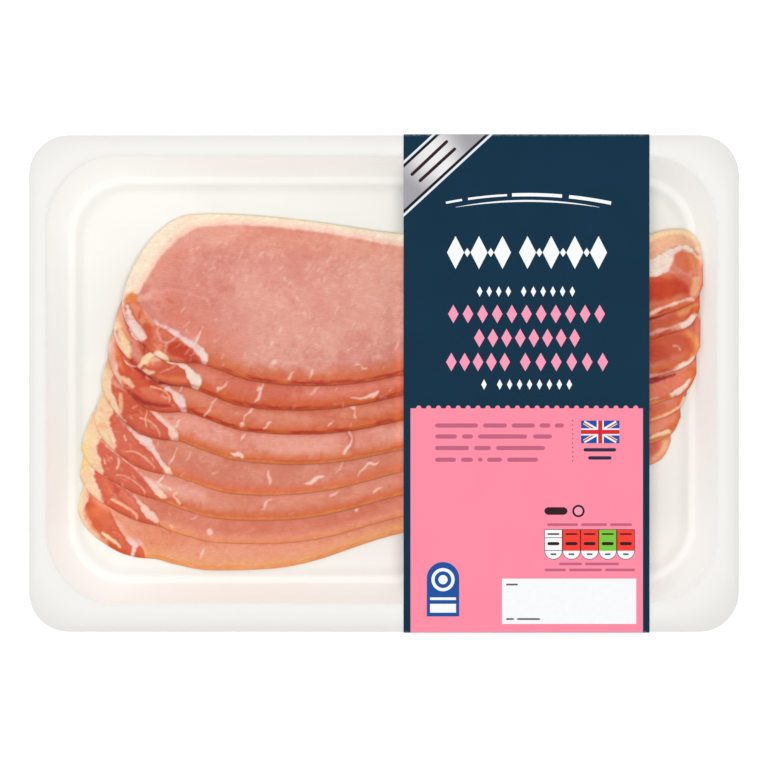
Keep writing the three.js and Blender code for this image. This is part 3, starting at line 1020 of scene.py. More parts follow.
LOOKS = {
    1: RasherLook((229, 165, 150), (215, 138, 124), (214, 110, 69), 1.0, (212, 110, 84), Flesh.LILAC,
        ((143, 311, 0.2), (146.5, 315.5, 0.4), (151.6, 320.4, 0.8), (157.8, 324.9, 0.9),
        (167.7, 329.6, 1.0), (176, 334.9, 1.8), (184, 340.4, 2.0), (190.7, 344.8, 2.4), (198, 350, 3.0),
        (203.2, 356, 3.2), (204.5, 361.5, 2.2), (204, 366, 1.0)), 0.15, 8.0, 0, 1.5),
    2: RasherLook((225, 135, 115), (214, 118, 96), (210, 100, 52), 1.0, (207, 100, 76), Flesh.WHITE,
        ((150, 343, 0.5), (160, 354, 0.8), (168.5, 361, 1.0), (178, 364.2, 1.6), (185.3, 368.6, 2.2),
        (190, 373.8, 3.2), (194.5, 379.5, 4.4), (196.2, 385, 4.2), (193.5, 389.5, 1.4)), 0.25, 5.4, 1.0),
    3: RasherLook((222, 139, 113), (214, 124, 100), (211, 103, 60), 1.0, (211, 95, 70), Flesh.LILAC,
        ((147, 370, 0.5), (156, 380, 0.8), (164.5, 387.4, 1.4), (172, 392.4, 2.0), (177.6, 398.4, 3.2),
        (181.2, 404.5, 3.8), (183.4, 409.5, 2.6), (181, 412.8, 1.0)), 0.4, 5.2, 0.9),
    4: RasherLook((231, 158, 139), (220, 137, 116), (213, 107, 58), 0.6, (207, 97, 72), Flesh.BLUSH,
        ((130, 396, 0.4), (144.6, 405, 0.9), (152, 411.4, 1.0), (164.3, 422.9, 1.2), (169.4, 428, 1.9),
        (172.4, 434, 3.0), (175.6, 440, 1.8)), 0.6, 5.2, 0.8),
    5: RasherLook((217, 139, 116), (210, 124, 101), (219, 113, 76), 0.15, (211, 102, 78), Flesh.LILAC,
        ((117, 417, 0), (130, 430, 0.3), (136, 435.4, 1.6), (142, 440, 3.2), (146.6, 443.4, 3.8),
        (151.4, 450, 1.6), (158, 459.4, 1.1), (162.5, 466, 2.2), (167, 471, 2.4), (169.6, 473.6, 1.2)), 1.0,
        4.6, 0.1),
    6: RasherLook((221, 141, 118), (213, 127, 102), (209, 106, 66), 0.1, (209, 101, 76), Flesh.BLUSH,
        ((105, 446, 0), (125, 460.4, 0.1), (132, 466.6, 0.2), (139.3, 473.8, 0.3), (146, 480, 0.5),
        (150.6, 484.6, 2.2), (155.6, 490.6, 2.6), (160.6, 495.2, 2.2), (165, 497.4, 0.8)), 1.0, 4.4, 0),
    7: RasherLook((215, 128, 104), (209, 116, 92), (226, 144, 113), 0.05, (209, 97, 72), Flesh.BLUSH,
        ((92, 466, 0), (102.7, 473.8, 0.1), (114.3, 482.6, 0.2), (123.2, 488, 0.2), (131.6, 495, 0.3),
        (138.2, 503.4, 0.7), (143.4, 510.4, 2.6), (148, 515.6, 3.4), (156, 522, 1.2)), 0.9, 4.4, 0),
    8: RasherLook((226, 152, 121), (219, 137, 104), (225, 156, 106), 0.3, (207, 93, 56), Flesh.PALE_ROSE,
        ((88, 480, 0.2), (95, 490, 0.4), (103.4, 500.6, 0.6), (109.4, 510, 0.6), (113.6, 519.6, 0.6),
        (119.4, 529, 0.7), (125.6, 537.6, 1.6), (131.6, 542.6, 2.8), (138.6, 544.4, 1.8), (142.4, 549, 0.9),
        (145, 556, 0.5)), 0.32, 5.0, 0.1),
}

WASHES = {
    1: (
        Stroke(Flesh.PALE_ROSE, ((262, 272, 22), (318, 304, 36), (372, 290, 22)), 40, 0.5),
        Stroke(Flesh.PALE_ROSE, ((250, 330, 8), (290, 338, 10), (380, 332, 12)), 26, 0.3),
        Stroke(Flesh.LIGHT_PEACH, ((214, 240, 4), (260, 237, 7), (330, 244, 7), (400, 257, 7)), 20, 0.55),
        Stroke(Flesh.ROSE, ((170, 280, 18), (196, 304, 24), (224, 330, 16)), 40, 0.75),
        Stroke(Flesh.SALMON, ((168, 306, 6), (182, 322, 10), (212, 342, 9), (232, 353, 6)), 22, 0.6),
        Stroke(Flesh.SALMON, ((160, 266, 3), (176, 254, 5), (196, 246, 4)), 14, 0.4),
    ),
    6: (
        Stroke(Flesh.PALE_ROSE, ((152, 484, 4), (170, 490, 7), (200, 496, 5)), 8, 0.7),
    ),
}

STROKES = {
    (1,): (
        Stroke(Flesh.PALE_ROSE, ((154, 293, 0.6), (174.5, 290, 0.7), (197, 297, 0.9), (206, 300, 1.0),
            (209, 308, 1.0)), 1.6, 0.55),
        Stroke(Flesh.PALE_ROSE, ((137, 299, 2), (146, 297.5, 3.2), (155, 292, 1.4)), 3.4, 0.9),
        Stroke(Flesh.PEACH, ((131, 305, 3), (136, 311, 4.4), (141, 322, 3.4)), 4, 0.9),
        Stroke(Flesh.CAP, ((139, 313, 1.2), (137.8, 320, 1.6)), 2.0),
        Stroke(Flesh.ORANGE, ((137.4, 320.4, 1.0), (137.8, 321.6, 1.0)), 0.8),
        Stroke(Flesh.PEACH, ((144.5, 315, 2.0), (149, 321, 2.8), (152.5, 325, 1.6)), 2.4),
        Stroke(Flesh.CAP, ((145, 326, 2.5), (148.5, 335, 3.8), (147, 344, 2.5)), 2.4),
        Stroke(Flesh.SALMON, ((154, 330, 2.0), (158, 343, 3.6), (160, 349, 3.2)), 2.4),
        Stroke(Flesh.SALMON, ((164, 334, 3.4), (169, 338, 2.6)), 2.4, 0.8),
        Stroke(Flesh.RED, ((169, 350, 3.6), (176, 349.6, 6.8), (184, 353.6, 6.8), (191.5, 358, 3.6),
            (196.5, 360.5, 1.2)), 2.0),
        Stroke(Flesh.PALE_ROSE, ((157.8, 326.3, 0.5), (156.6, 334, 0.7), (160.8, 341.4, 0.8),
            (165.2, 344, 1.0), (164.8, 350.6, 1.1), (163.9, 353, 0.7)), 1.8, 0.8),
        Stroke(Flesh.LILAC, ((165.4, 343.9, 0.5), (171.5, 340.9, 0.6), (175.6, 337.6, 0.7)), 1.2, 0.7),
        Stroke(Flesh.LILAC, ((194.6, 344.5, 1.4), (198.5, 335.5, 0.9), (202.2, 327.8, 0.5)), 0.9, 0.9),
        Stroke(Flesh.WHITE, ((200, 352.5, 1.6), (203.6, 356.5, 2.2), (205.2, 361, 1.4)), 1.6),
    ),
    (1, 2): (
        Stroke(Flesh.LIGHT_PEACH, ((118, 308, 2.4), (118.6, 318, 3.4), (122, 330, 3.0), (129, 341, 2.0)),
            2.6, 0.9),
        Stroke(Flesh.ORANGE, ((120, 329, 0.8), (124, 336, 1.6), (127.6, 342, 1.0)), 1.6),
        Stroke(Flesh.SPOT, ((129.4, 299, 4.8), (130.6, 298.4, 5.2)), 2.0),
        Stroke(Flesh.AMBER, ((126.6, 297, 1.4), (127.4, 301, 1.6)), 2.4, 0.6),
        Stroke(Flesh.LILAC, ((126.4, 306.4, 0.9), (128.4, 314, 2.2), (131, 321.5, 2.8), (133.5, 327, 3.6)),
            1.2, 1, 0.2),
        Stroke(Flesh.ROSE, ((133, 343, 3.4), (134, 352, 5.0), (138, 359, 4.2)), 2.0),
        Stroke(Flesh.RED, ((128.6, 357.5, 1.2), (133, 361, 1.8), (136.5, 364, 0.8)), 1.4),
        Stroke(Flesh.LILAC, ((134.4, 327.5, 4.0), (137, 334, 4.8), (142.6, 338, 2.0)), 1.2, 1, 0.3),
        Stroke(Flesh.WHITE, ((135, 331, 1.8), (138, 335, 2.2)), 3.0, 0.8),
        Stroke(Flesh.SHADOW, ((141, 343, 0.6), (145.5, 345.5, 0.8), (143, 351, 0.8), (144.5, 356, 0.7)),
            1.0, 0.7),
        Stroke(Flesh.CREAM, ((117, 324, 1.4), (119, 333, 2.4), (122.4, 341, 3.6), (126, 348, 4.0),
            (127.5, 354, 2.6), (129.5, 357.5, 0.8)), 2.4, 0.95, 0.2),
        Stroke(Flesh.PALE_PEACH, ((146, 364, 2.6), (151, 360.6, 3.4), (158, 361, 2.6)), 2.4),
        Stroke(Flesh.SALMON, ((150, 365.5, 2.4), (158, 364.5, 3.0)), 2.4, 0.9),
        Stroke(Flesh.CREAM, ((139.5, 366.5, 1.8), (144.6, 360.4, 2.4), (150, 355.4, 2.0), (157, 354.2, 1.9),
            (163, 356.6, 2.5), (167.4, 360, 1.5)), 1.2, 1, 0.3),
        Stroke(Flesh.WHITE, ((158, 354.6, 1.0), (163, 356.8, 1.6)), 1.4, 0.8),
    ),
    (2, 3): (
        Stroke(Flesh.PALE_ROSE, ((111, 340, 2.0), (113, 350, 2.6), (112, 362, 2.6)), 3.0, 0.8),
        Stroke(Flesh.ORANGE, ((114.5, 343, 1.0), (116.5, 353, 1.8), (118.5, 361, 1.8), (121.5, 370, 1.6)),
            2.4, 0.9),
        Stroke(Flesh.RED, ((129, 361, 1.2), (134, 364, 1.2)), 2.0),
        Stroke(Flesh.BLUSH, ((121.4, 357.4, 0.4), (126.2, 364, 0.7), (133, 367, 0.7), (139, 365.4, 0.6)),
            0.9, 0.9),
        Stroke(Flesh.CREAM, ((142, 369.4, 1.0), (148, 372.4, 1.9), (153, 372.8, 1.7)), 1.4, 0.9),
        Stroke(Flesh.CAP, ((160, 371, 3.6), (172, 370, 4.0), (180, 372, 3.0)), 3.0, 0.9),
        Stroke(Flesh.PALE_ROSE, ((159.3, 373.4, 0.6), (171.5, 368.4, 0.7), (175.4, 365, 0.6)), 0.9, 0.6),
        Stroke(Flesh.ORANGE, ((158, 377, 1.1), (172, 379, 1.5), (185, 380.4, 1.6)), 2.4, 0.9),
    ),
    (3,): (
        Stroke(Flesh.LIGHT_PEACH, ((111, 352, 2.4), (111, 366, 3.6), (112, 380, 3.6), (110, 392, 2.6)), 4.0,
            0.85),
        Stroke(Flesh.PALE_PEACH, ((118, 377, 1.6), (125, 381, 3.4), (131.4, 387, 1.8)), 2.0),
        Stroke(Flesh.SHADOW, ((134, 368.4, 0.8), (146, 376.8, 1.8), (156, 382.4, 1.9), (168, 385, 1.5),
            (184, 386.6, 0.8)), 1.6),
        Stroke(Flesh.RED, ((142, 379, 1.2), (152, 384, 2.4), (162, 388, 1.4)), 2.0),
        Stroke(Flesh.SHADOW, ((128, 390, 0.8), (138, 398.5, 1.6), (146, 403.4, 2.0), (156, 405.6, 1.8),
            (172, 407, 0.8)), 1.8, 0.9),
        Stroke(Flesh.SALMON, ((142, 390, 2.6), (150, 394, 4.6), (158, 397.4, 4.6), (165, 399.4, 2.6)), 2.0,
            0.8),
        Stroke(Flesh.PALE_PEACH, ((150, 387.6, 0.7), (160, 389.9, 0.9), (166.2, 393.7, 1.0),
            (169.2, 398.8, 1.1), (168.5, 402.6, 0.6)), 1.0, 0.8),
        Stroke(Flesh.LILAC, ((179.5, 391.5, 0.9), (181.9, 384.5, 0.6)), 0.9, 0.8),
        Stroke(Flesh.PALE_ROSE, ((108, 368, 1.6), (107.6, 376, 2.0)), 2.4, 0.9),
    ),
    (4,): (
        Stroke(Flesh.AMBER, ((103, 401.5, 1.6), (108.6, 402.5, 1.8)), 2.0, 0.9),
        Stroke(Flesh.PALE_PEACH, ((119.4, 395, 1.4), (119.8, 404, 2.0), (120, 413, 1.0)), 1.8, 0.8),
        Stroke(Flesh.LIGHT_PEACH, ((139.3, 418.2, 0.4), (146.4, 420, 0.6), (153.6, 425.4, 0.7),
            (158, 432, 0.9), (159, 435.6, 0.6)), 1.2, 0.9),
        Stroke(Flesh.PALE_PEACH, ((146.4, 411, 0.6), (144.6, 419, 0.7), (145.5, 427, 0.5)), 0.9, 0.7),
        Stroke(Flesh.PALE_ROSE, ((132, 408.5, 1.0), (136, 406.5, 0.8)), 1.2, 0.6),
        Stroke(Flesh.RED, ((348, 432, 1.4), (351.5, 441, 2.2), (350, 448, 1.4)), 4.0, 0.9),
    ),
    (5,): (
        Stroke(Flesh.AMBER, ((98.6, 426.4, 2.0), (104, 427.4, 1.6)), 4.0, 0.7),
        Stroke(Flesh.SHADOW, ((117, 417.6, 0.7), (128, 426.2, 0.9), (138, 433, 0.9), (147, 437, 0.6)), 1.2,
            0.7),
        Stroke(Flesh.LIGHT_PEACH, ((125, 452, 0.5), (133, 452, 0.6), (142, 456.6, 0.8), (149, 462.9, 0.9),
            (153.6, 468, 0.7)), 1.2, 0.9),
        Stroke(Flesh.PALE_PEACH, ((110.7, 433.4, 0.6), (109.6, 440, 0.9)), 0.9, 0.8),
        Stroke(Flesh.PALE_PEACH, ((123.2, 436, 0.6), (124.4, 440.6, 0.9)), 0.9, 0.8),
        Stroke(Flesh.RED, ((140, 446, 2.0), (145, 452, 2.6)), 4.0, 0.5),
        Stroke(Flesh.CREAM, ((165, 469, 2.0), (168.4, 472.4, 1.6)), 1.6),
        Stroke(Flesh.PALE_ROSE, ((187, 460, 0.8), (190, 453, 0.6)), 1.2, 0.7),
    ),
    (6,): (
        Stroke(Flesh.LIGHT_PEACH, ((115.2, 475.4, 0.5), (121.4, 476, 0.8), (128.4, 478.8, 0.9),
            (135.6, 484, 1.0), (140.6, 488.4, 1.2), (143.6, 493, 0.9)), 1.2, 0.95),
        Stroke(Flesh.PALE_PEACH, ((117, 458.4, 0.8), (117, 464.6, 1.0), (115.2, 469, 0.5)), 0.9, 0.9),
        Stroke(Flesh.PALE_PEACH, ((102.6, 459, 0.7), (103.4, 464, 1.0)), 0.9, 0.9),
        Stroke(Flesh.RED, ((129, 475, 1.6), (138, 482, 2.6), (143, 487, 1.6)), 3.0, 0.55),
        Stroke(Flesh.BLUSH, ((155, 483, 1.3), (162, 487.5, 1.7), (169.4, 489.6, 0.6)), 1.4, 0.9),
        Stroke(Flesh.LILAC, ((164.3, 472.7, 0.6), (161, 478, 0.9), (157, 483, 1.0)), 0.9, 0.9),
        Stroke(Flesh.CREAM, ((155, 494, 1.2), (159, 494.6, 2.2), (162.6, 497, 1.0)), 1.4),
        Stroke(Flesh.PALE_PEACH, ((175.9, 493.4, 1.0), (172.6, 496.6, 1.1), (176, 500.4, 1.1),
            (178.8, 504.4, 0.9)), 1.0, 0.9),
    ),
    (7,): (
        Stroke(Flesh.ORANGE, ((102, 476, 1.2), (105, 486, 2.6), (108, 494, 2.4)), 3.0, 0.6),
        Stroke(Flesh.SALMON, ((118, 492, 3.0), (127, 500, 3.6), (134, 508, 3.0)), 2.4, 0.6),
        Stroke(Flesh.RED, ((113.6, 485, 1.2), (115.4, 491, 2.6), (112, 496.4, 1.4)), 1.4, 0.9),
        Stroke(Flesh.PALE_PEACH, ((110, 500, 0.8), (119, 504.6, 1.1), (128, 510, 1.0), (134, 515.2, 1.2),
            (135.6, 518.4, 0.8)), 1.4, 0.95, 0.1),
        Stroke(Flesh.PALE_PEACH, ((169, 526.6, 1.2), (171, 527.6, 1.2)), 1.0),
    ),
    (5, 6, 7): (
        Stroke(Flesh.YELLOW, ((83.4, 445, 1.6), (83, 458, 3.4), (82.4, 470, 1.8)), 4.0, 0.95),
    ),
    (8,): (
        Stroke(Flesh.PEACH, ((88, 492, 3.6), (96, 500, 5.0), (104, 509, 4.0)), 4.0, 0.9),
        Stroke(Flesh.PALE_PEACH, ((81, 508, 1.2), (84, 520, 1.6), (93, 534, 1.6), (104, 545, 1.4)), 3.0,
            0.75),
        Stroke(Flesh.ORANGE, ((90, 512, 4.6), (98, 514, 6.0), (106, 524, 5.0)), 5.0, 0.6),
        Stroke(Flesh.CAP, ((102, 517, 2.2), (105, 525, 3.4), (114, 536, 2.6)), 6.0, 0.6),
        Stroke(Flesh.CREAM, ((100.5, 534, 0.9), (108, 539.5, 1.5), (114, 544, 1.7), (118.5, 548.4, 1.0)),
            1.2, 0.9),
        Stroke(Flesh.CAP, ((122, 546, 3.2), (126.6, 549.6, 3.0)), 1.8),
        Stroke(Flesh.LILAC, ((127.6, 541, 1.4), (133.4, 547, 2.2), (131, 555, 1.6)), 1.4, 0.9),
        Stroke(Flesh.CAP, ((135.6, 550.4, 1.2), (139.2, 553.6, 2.8), (141.6, 557.6, 1.6)), 1.2),
        Stroke(Flesh.YELLOW, ((300, 566, 1.2), (340, 560, 2.2), (380, 546, 2.2), (403, 537, 2.2)), 6.0,
            0.5),
    ),
}

TAIL_STROKES = {
    (1,): (
        Stroke(Flesh.CREAM, ((648, 240, 5), (664, 232.6, 4.4), (682, 230.6, 4.4), (694, 238, 4.0),
            (700, 250, 3.0)), 3.0),
        Stroke(Flesh.PALE_PEACH, ((646, 258, 9), (660, 247, 7.4), (676, 240.6, 6.4), (688, 241.6, 5.6),
            (696, 246, 3.4)), 3.0),
        Stroke(Flesh.PALE_ROSE, ((647, 262, 3.6), (658, 250, 2.6)), 4.0, 0.6),
        Stroke(Flesh.CAP, ((644, 290, 13), (662, 288, 12), (680, 284, 10), (690, 288, 7)), 3.0),
        Stroke(Flesh.RED, ((646, 294, 9), (664, 291, 9.5), (680, 287, 8), (687, 290, 5)), 5.0, 0.9),
        Stroke(Flesh.WHITE, ((646, 268, 8), (656, 267.4, 8.4), (665, 263.4, 8), (671, 257.4, 5.4),
            (676, 251.6, 2.6), (684, 248.4, 1.7), (692, 249.6, 2.2), (698, 254.6, 1.4), (701.4, 262, 0.7)),
            1.4, 1, 0.2),
        Stroke(Flesh.ORANGE, ((667, 275.4, 1.6), (671.6, 277.4, 3.0)), 3.0, 0.7),
        Stroke(Flesh.SALMON, ((685, 261, 9.4), (689.4, 262.6, 10.4)), 2.0),
        Stroke(Flesh.ORANGE, ((684, 256, 3.4), (689, 263, 3.6), (689, 270, 2.2)), 5.0, 0.6),
        Stroke(Flesh.AMBER, ((694.6, 255.6, 3.4), (697.6, 264, 3.6), (697.6, 271, 2.4)), 3.6, 0.7),
        Stroke(Flesh.ROSE, ((675.4, 263, 1.2), (678, 269.6, 1.6), (684, 274, 1.4)), 2.0, 0.7),
        Stroke(Flesh.SALMON, ((674, 269, 2.4), (682.6, 276.6, 3.0), (692, 283, 3.0), (694.6, 292, 3.0)),
            3.0, 0.8),
        Stroke(Flesh.PALE_PEACH, ((698.4, 279, 2.6), (697.4, 287, 3.0), (695, 294, 2.4)), 2.6, 0.8),
        Stroke(Flesh.BLUSH, ((650.7, 314.2, 0.9), (659, 310.6, 1.0), (670.6, 306, 1.0), (682.8, 302, 1.0),
            (693.6, 299, 1.0)), 1.2, 0.9, 0.1),
    ),
    (2,): (
        Stroke(Flesh.SHADOW, ((646, 320.6, 2.4), (660, 316.4, 2.0), (673, 311.4, 1.2)), 1.6),
        Stroke(Flesh.RED, ((672, 312, 1.6), (684, 307.6, 2.0), (690, 304.4, 1.4)), 2.0, 0.8),
        Stroke(Flesh.CAP, ((646, 329, 5), (664, 323.6, 4.6), (680, 317, 3.6)), 3.0),
        Stroke(Flesh.AMBER, ((682, 314, 3.0), (690, 309.6, 3.0), (696, 305.6, 2.6)), 3.0, 0.8),
        Stroke(Flesh.PALE_ROSE, ((648, 336, 1.5), (663, 330.6, 1.8), (676, 327.4, 1.8), (684, 324.6, 2.2)),
            1.6, 0.9),
        Stroke(Flesh.WHITE, ((684, 325.6, 1.4), (692, 321, 2.6), (697, 315, 1.8)), 1.4, 0.9),
    ),
    (3,): (
        Stroke(Flesh.CAP, ((646, 352, 13), (664, 346, 13), (680, 342, 12), (690, 344, 8)), 3.0),
        Stroke(Flesh.RED, ((646, 356, 8), (660, 354, 8), (668, 356, 5)), 6.0, 0.85),
        Stroke(Flesh.ORANGE, ((664, 336, 1.8), (680, 331.6, 2.4), (692, 336, 2.6), (696.6, 346, 2.4)), 3.0,
            0.7),
        Stroke(Flesh.AMBER, ((690, 332.4, 2.0), (697, 339, 2.4), (698.2, 349, 2.2), (694, 356, 1.6)), 2.6,
            0.8),
        Stroke(Flesh.PALE_ROSE, ((676, 346, 0.7), (680, 346.6, 0.9), (682, 350, 0.7)), 1.0, 0.8),
        Stroke(Flesh.PALE_ROSE, ((646, 377, 1.2), (663.1, 373, 1.2), (676, 369.4, 1.6)), 1.2, 0.9),
        Stroke(Flesh.WHITE, ((676, 370, 1.2), (682, 366.6, 2.2), (689, 362.4, 2.2), (695, 357.6, 1.4)), 1.2,
            1, 0.15),
    ),
    (4,): (
        Stroke(Flesh.SALMON, ((646, 393, 9), (664, 388, 8), (680, 380, 7)), 4.0),
        Stroke(Flesh.SHADOW, ((646, 382.4, 2.8), (660, 379.6, 2.2), (676, 374.6, 1.2)), 1.6),
        Stroke(Flesh.ORANGE, ((684, 372, 2.4), (692, 374, 2.8), (690, 382, 2.0)), 2.6, 0.8),
        Stroke(Flesh.WHITE, ((672.6, 394.6, 1.4), (679, 391.4, 2.4), (686, 386, 1.6), (691, 379.6, 1.0)),
            1.2, 0.95),
        Stroke(Flesh.PALE_ROSE, ((648, 401, 1.2), (657.6, 398.6, 1.2)), 1.2, 0.9),
    ),
    (5,): (
        Stroke(Flesh.SHADOW, ((646, 405.4, 1.3), (656, 402.6, 1.2), (664, 400.4, 0.8)), 1.4, 0.9),
        Stroke(Flesh.CAP, ((646, 412, 3.6), (664, 407, 3.6)), 3.0, 0.7),
        Stroke(Flesh.CREAM, ((652, 419.4, 0.8), (667.8, 414, 0.8), (680, 406.4, 0.8), (684.6, 397.6, 0.8)),
            0.9, 0.9),
    ),
    (6,): (
        Stroke(Flesh.PEACH, ((650, 431, 5), (664, 425, 5), (674, 418, 4)), 4.0, 0.6),
        Stroke(Flesh.CREAM, ((651, 438.6, 0.9), (661, 434.6, 1.5), (669.6, 431.4, 1.4)), 1.2, 0.9),
    ),
    (7,): (
        Stroke(Flesh.CAP, ((648, 450, 7), (656, 446, 6)), 5.0, 0.8),
        Stroke(Flesh.PALE_PEACH, ((667.6, 443, 2.4), (663, 453, 2.4), (655, 460, 2.0)), 2.6, 0.8),
    ),
}


@dataclass(frozen=True)
class Vein:
    """A thin vein or a small spot of fat, drawn in the photo's pixels."""

    start: Point
    end: Point
    half: float = 0.8
    strength: float = 0.8


VEINS = {
    1: (Vein((294, 372), (288, 380)), Vein((312, 371), (309, 379)), Vein((355, 365), (367, 369)),
        Vein((272, 363), (276, 363), 1.6), Vein((281, 328), (279, 335), 0.7, 0.5), Vein((296, 297),
        (297, 300), 1.2, 0.5), Vein((303, 313), (305, 314), 1.0, 0.5)),
    2: (Vein((263, 385), (254, 403), 0.9), Vein((258, 390), (260, 390), 1.6), Vein((319, 388), (310, 395),
        0.7, 0.5), Vein((337.5, 388), (335, 393), 0.7, 0.5), Vein((378, 392), (366, 398), 1.3, 1.0),
        Vein((366, 398), (351, 398), 0.7), Vein((227, 381.5), (217, 392), 0.9), Vein((217, 389), (219, 389),
        1.6)),
    3: (Vein((254, 406), (243, 422), 0.9), Vein((241, 425), (243, 424), 1.8), Vein((352, 407), (356, 420.5),
        0.9), Vein((351, 407), (354, 408), 1.8), Vein((270, 422), (263, 428.5), 0.9), Vein((333, 420.5),
        (328, 426), 0.8), Vein((217, 398), (204, 415), 0.8)),
    4: (Vein((351, 426), (348, 429), 0.9, 1.0), Vein((348, 429), (352, 439), 0.9, 1.0), Vein((352, 439),
        (344, 454), 1.1, 1.0), Vein((245, 434), (241, 440), 0.8), Vein((230, 453), (242, 457), 1.5, 1.0),
        Vein((179, 420), (173.5, 427), 0.8)),
    5: (Vein((268, 471), (268.6, 486), 0.9), Vein((323, 477), (304, 484), 1.4, 1.0), Vein((344, 457),
        (335, 474), 0.7, 0.5), Vein((378, 463), (367, 465), 1.0, 1.0), Vein((367, 465), (358, 476), 0.9),
        Vein((176, 448.6), (168, 464), 0.7, 0.6)),
    6: (Vein((271, 500), (259, 511), 0.8), Vein((337.5, 492), (329.5, 497), 0.8), Vein((382, 488),
        (373, 494), 0.8), Vein((189, 482), (205, 486), 1.2, 0.7), Vein((225, 490), (227, 490), 1.8)),
    7: (Vein((355, 511), (357, 511), 1.4), Vein((208, 531), (209, 534), 2.4), Vein((199, 514), (190, 520),
        0.8, 0.5)),
    8: (Vein((203, 549), (199, 560), 1.2, 0.6),),
}


@dataclass(frozen=True)
class Flecks:
    """Short flecks strewn at random, in the photo's pixels.

    The area is given by its left, top, right and bottom. The slant is in degrees from +X towards +Y, and the
    longest is half the length of the longest fleck.
    """

    tone: Flesh
    count: int
    area: tuple[float, float, float, float]
    slant: float
    longest: float


TOP_FLECKS = (
    Flecks(Flesh.BLUSH, 110, (180, 245, 403, 368), -52, 4.5),
    Flecks(Flesh.ROSE, 70, (150, 240, 403, 372), -45, 6),
)
LOWER_FLECKS = (Flecks(Flesh.PALE_ROSE, 60, (160, 380, 403, 570), -40, 4),)
CAP_FLECKS = (
    Flecks(Flesh.LIGHT_PEACH, 130, (96, 300, 170, 550), 50, 4.5),
    Flecks(Flesh.RED, 90, (100, 300, 170, 550), 42, 4),
    Flecks(Flesh.ORANGE, 50, (90, 300, 170, 550), 46, 5),
)
DRIFT_REACH = 140


def step(values: np.ndarray, start: float, end: float) -> np.ndarray:
    """Rise smoothly from 0 where values are at the start to 1 where they are at the end."""
    share = np.clip((values - start) / (end - start), 0, 1)
    return share * share * (3 - 2 * share)


def drift(places: np.ndarray, size: float, chance: np.random.Generator) -> np.ndarray:
    """Soft random values from -1 to 1 at places on the pack.

    Args:
        places: The places, one row each.
        size: How wide one lump is, in millimetres.
        chance: Where the random numbers come from.

    Returns:
        One value for each place.
    """
    at = (places + DRIFT_REACH) / size
    cell = at.astype(int)
    u, v = (at - cell).T
    grid = chance.uniform(-1, 1, (int(2 * DRIFT_REACH / size) + 2,) * 2)
    return between_cells(grid, *cell.T, u * u * (3 - 2 * u), v * v * (3 - 2 * v))


class Painter:
    """The colour and relief of one rasher, laid on its points stroke over stroke."""

    gloss = 0.042
    softer = 1.8
    ragged_sizes = ((2.4, 0.42), (1.0, 0.34))
    mottle_sizes = ((4.2, 0.05), (1.5, 0.06), (0.7, 0.05))
    mottle_shares = (0.35, 1.0, 1.15)
    vein_bend = 0.12
    vein_soft = 1.0
    fleck_soft = 1.2
    fleck_turn = 22
    fleck_shortest = 0.8
    fleck_widths = (0.4, 0.9)
    fleck_strengths = (0.15, 0.6)

    def __init__(self, places: np.ndarray, chance: np.random.Generator) -> None:
        """Start on a rasher whose points lie at these places."""
        self.places = places
        self.chance = chance
        self.colour = np.zeros((len(places), 3))
        self.raised = np.zeros(len(places))
        self.ragged = sum(drift(places, size, chance) * much for size, much in self.ragged_sizes)

    def lay(self, shade: Flesh | Rgb, share: np.ndarray | float) -> None:
        """Lay a tone over what is there, by its share at each point."""
        screen = shade.value if isinstance(shade, Flesh) else shade
        over = np.array(tone(screen, self.gloss))[:3]
        self.colour += (over - self.colour) * np.reshape(share, (-1, 1))

    def draw(self, stroke: Stroke) -> None:
        """Draw a stroke with soft, slightly ragged edges."""
        placed = placed_curve(stroke.points)
        soft = PHOTO.size(stroke.soft) * self.softer
        margin = placed[:, 2].max() + soft + 1
        low, high = placed[:, :2].min(axis=0) - margin, placed[:, :2].max(axis=0) + margin
        near = np.flatnonzero(((self.places > low) & (self.places < high)).all(axis=1))
        unsteady = min(1.0, 0.25 + placed[:, 2].max() * 0.4)
        depth = depth_in(self.places[near], placed) + self.ragged[near] * unsteady
        share = np.zeros(len(self.places))
        share[near] = step(depth, -soft / 2, soft / 2) * stroke.strength
        self.lay(stroke.tone, share)
        self.raised += share * stroke.relief

    def draw_vein(self, vein: Vein) -> None:
        """Draw a vein that bends a little and thins out at its ends."""
        (x, y), (end_x, end_y) = vein.start, vein.end
        dx, dy = end_x - x, end_y - y
        bend = self.chance.uniform(-self.vein_bend, self.vein_bend, 2)
        inner = [(x + dx * share - dy * aside, y + dy * share + dx * aside, vein.half * 1.15)
                 for share, aside in zip((0.35, 0.7), bend)]
        points = ((x, y, vein.half * 0.5), *inner, (end_x, end_y, vein.half * 0.5))
        self.draw(Stroke(Flesh.BLUSH, points, self.vein_soft, vein.strength))

    def scatter(self, flecks: Flecks) -> None:
        """Draw short flecks at random."""
        left, top, right, bottom = flecks.area
        for _ in range(flecks.count):
            x, y = self.chance.uniform(left, right), self.chance.uniform(top, bottom)
            angle = math.radians(flecks.slant + self.chance.normal(0, self.fleck_turn))
            half = self.chance.uniform(self.fleck_shortest, flecks.longest)
            dx, dy = half * math.cos(angle), half * math.sin(angle)
            width = self.chance.uniform(*self.fleck_widths)
            points = ((x - dx, y - dy, width * 0.4), (x, y, width), (x + dx, y + dy, width * 0.4))
            strength = self.chance.uniform(*self.fleck_strengths)
            self.draw(Stroke(flecks.tone, points, self.fleck_soft, strength))

    def mottle(self) -> None:
        """Vary the tones a little from place to place, green and blue more than red, as wet meat does."""
        uneven = sum(drift(self.places, size, self.chance) * much for size, much in self.mottle_sizes)
        self.colour *= 1 + uneven[:, None] * self.mottle_shares


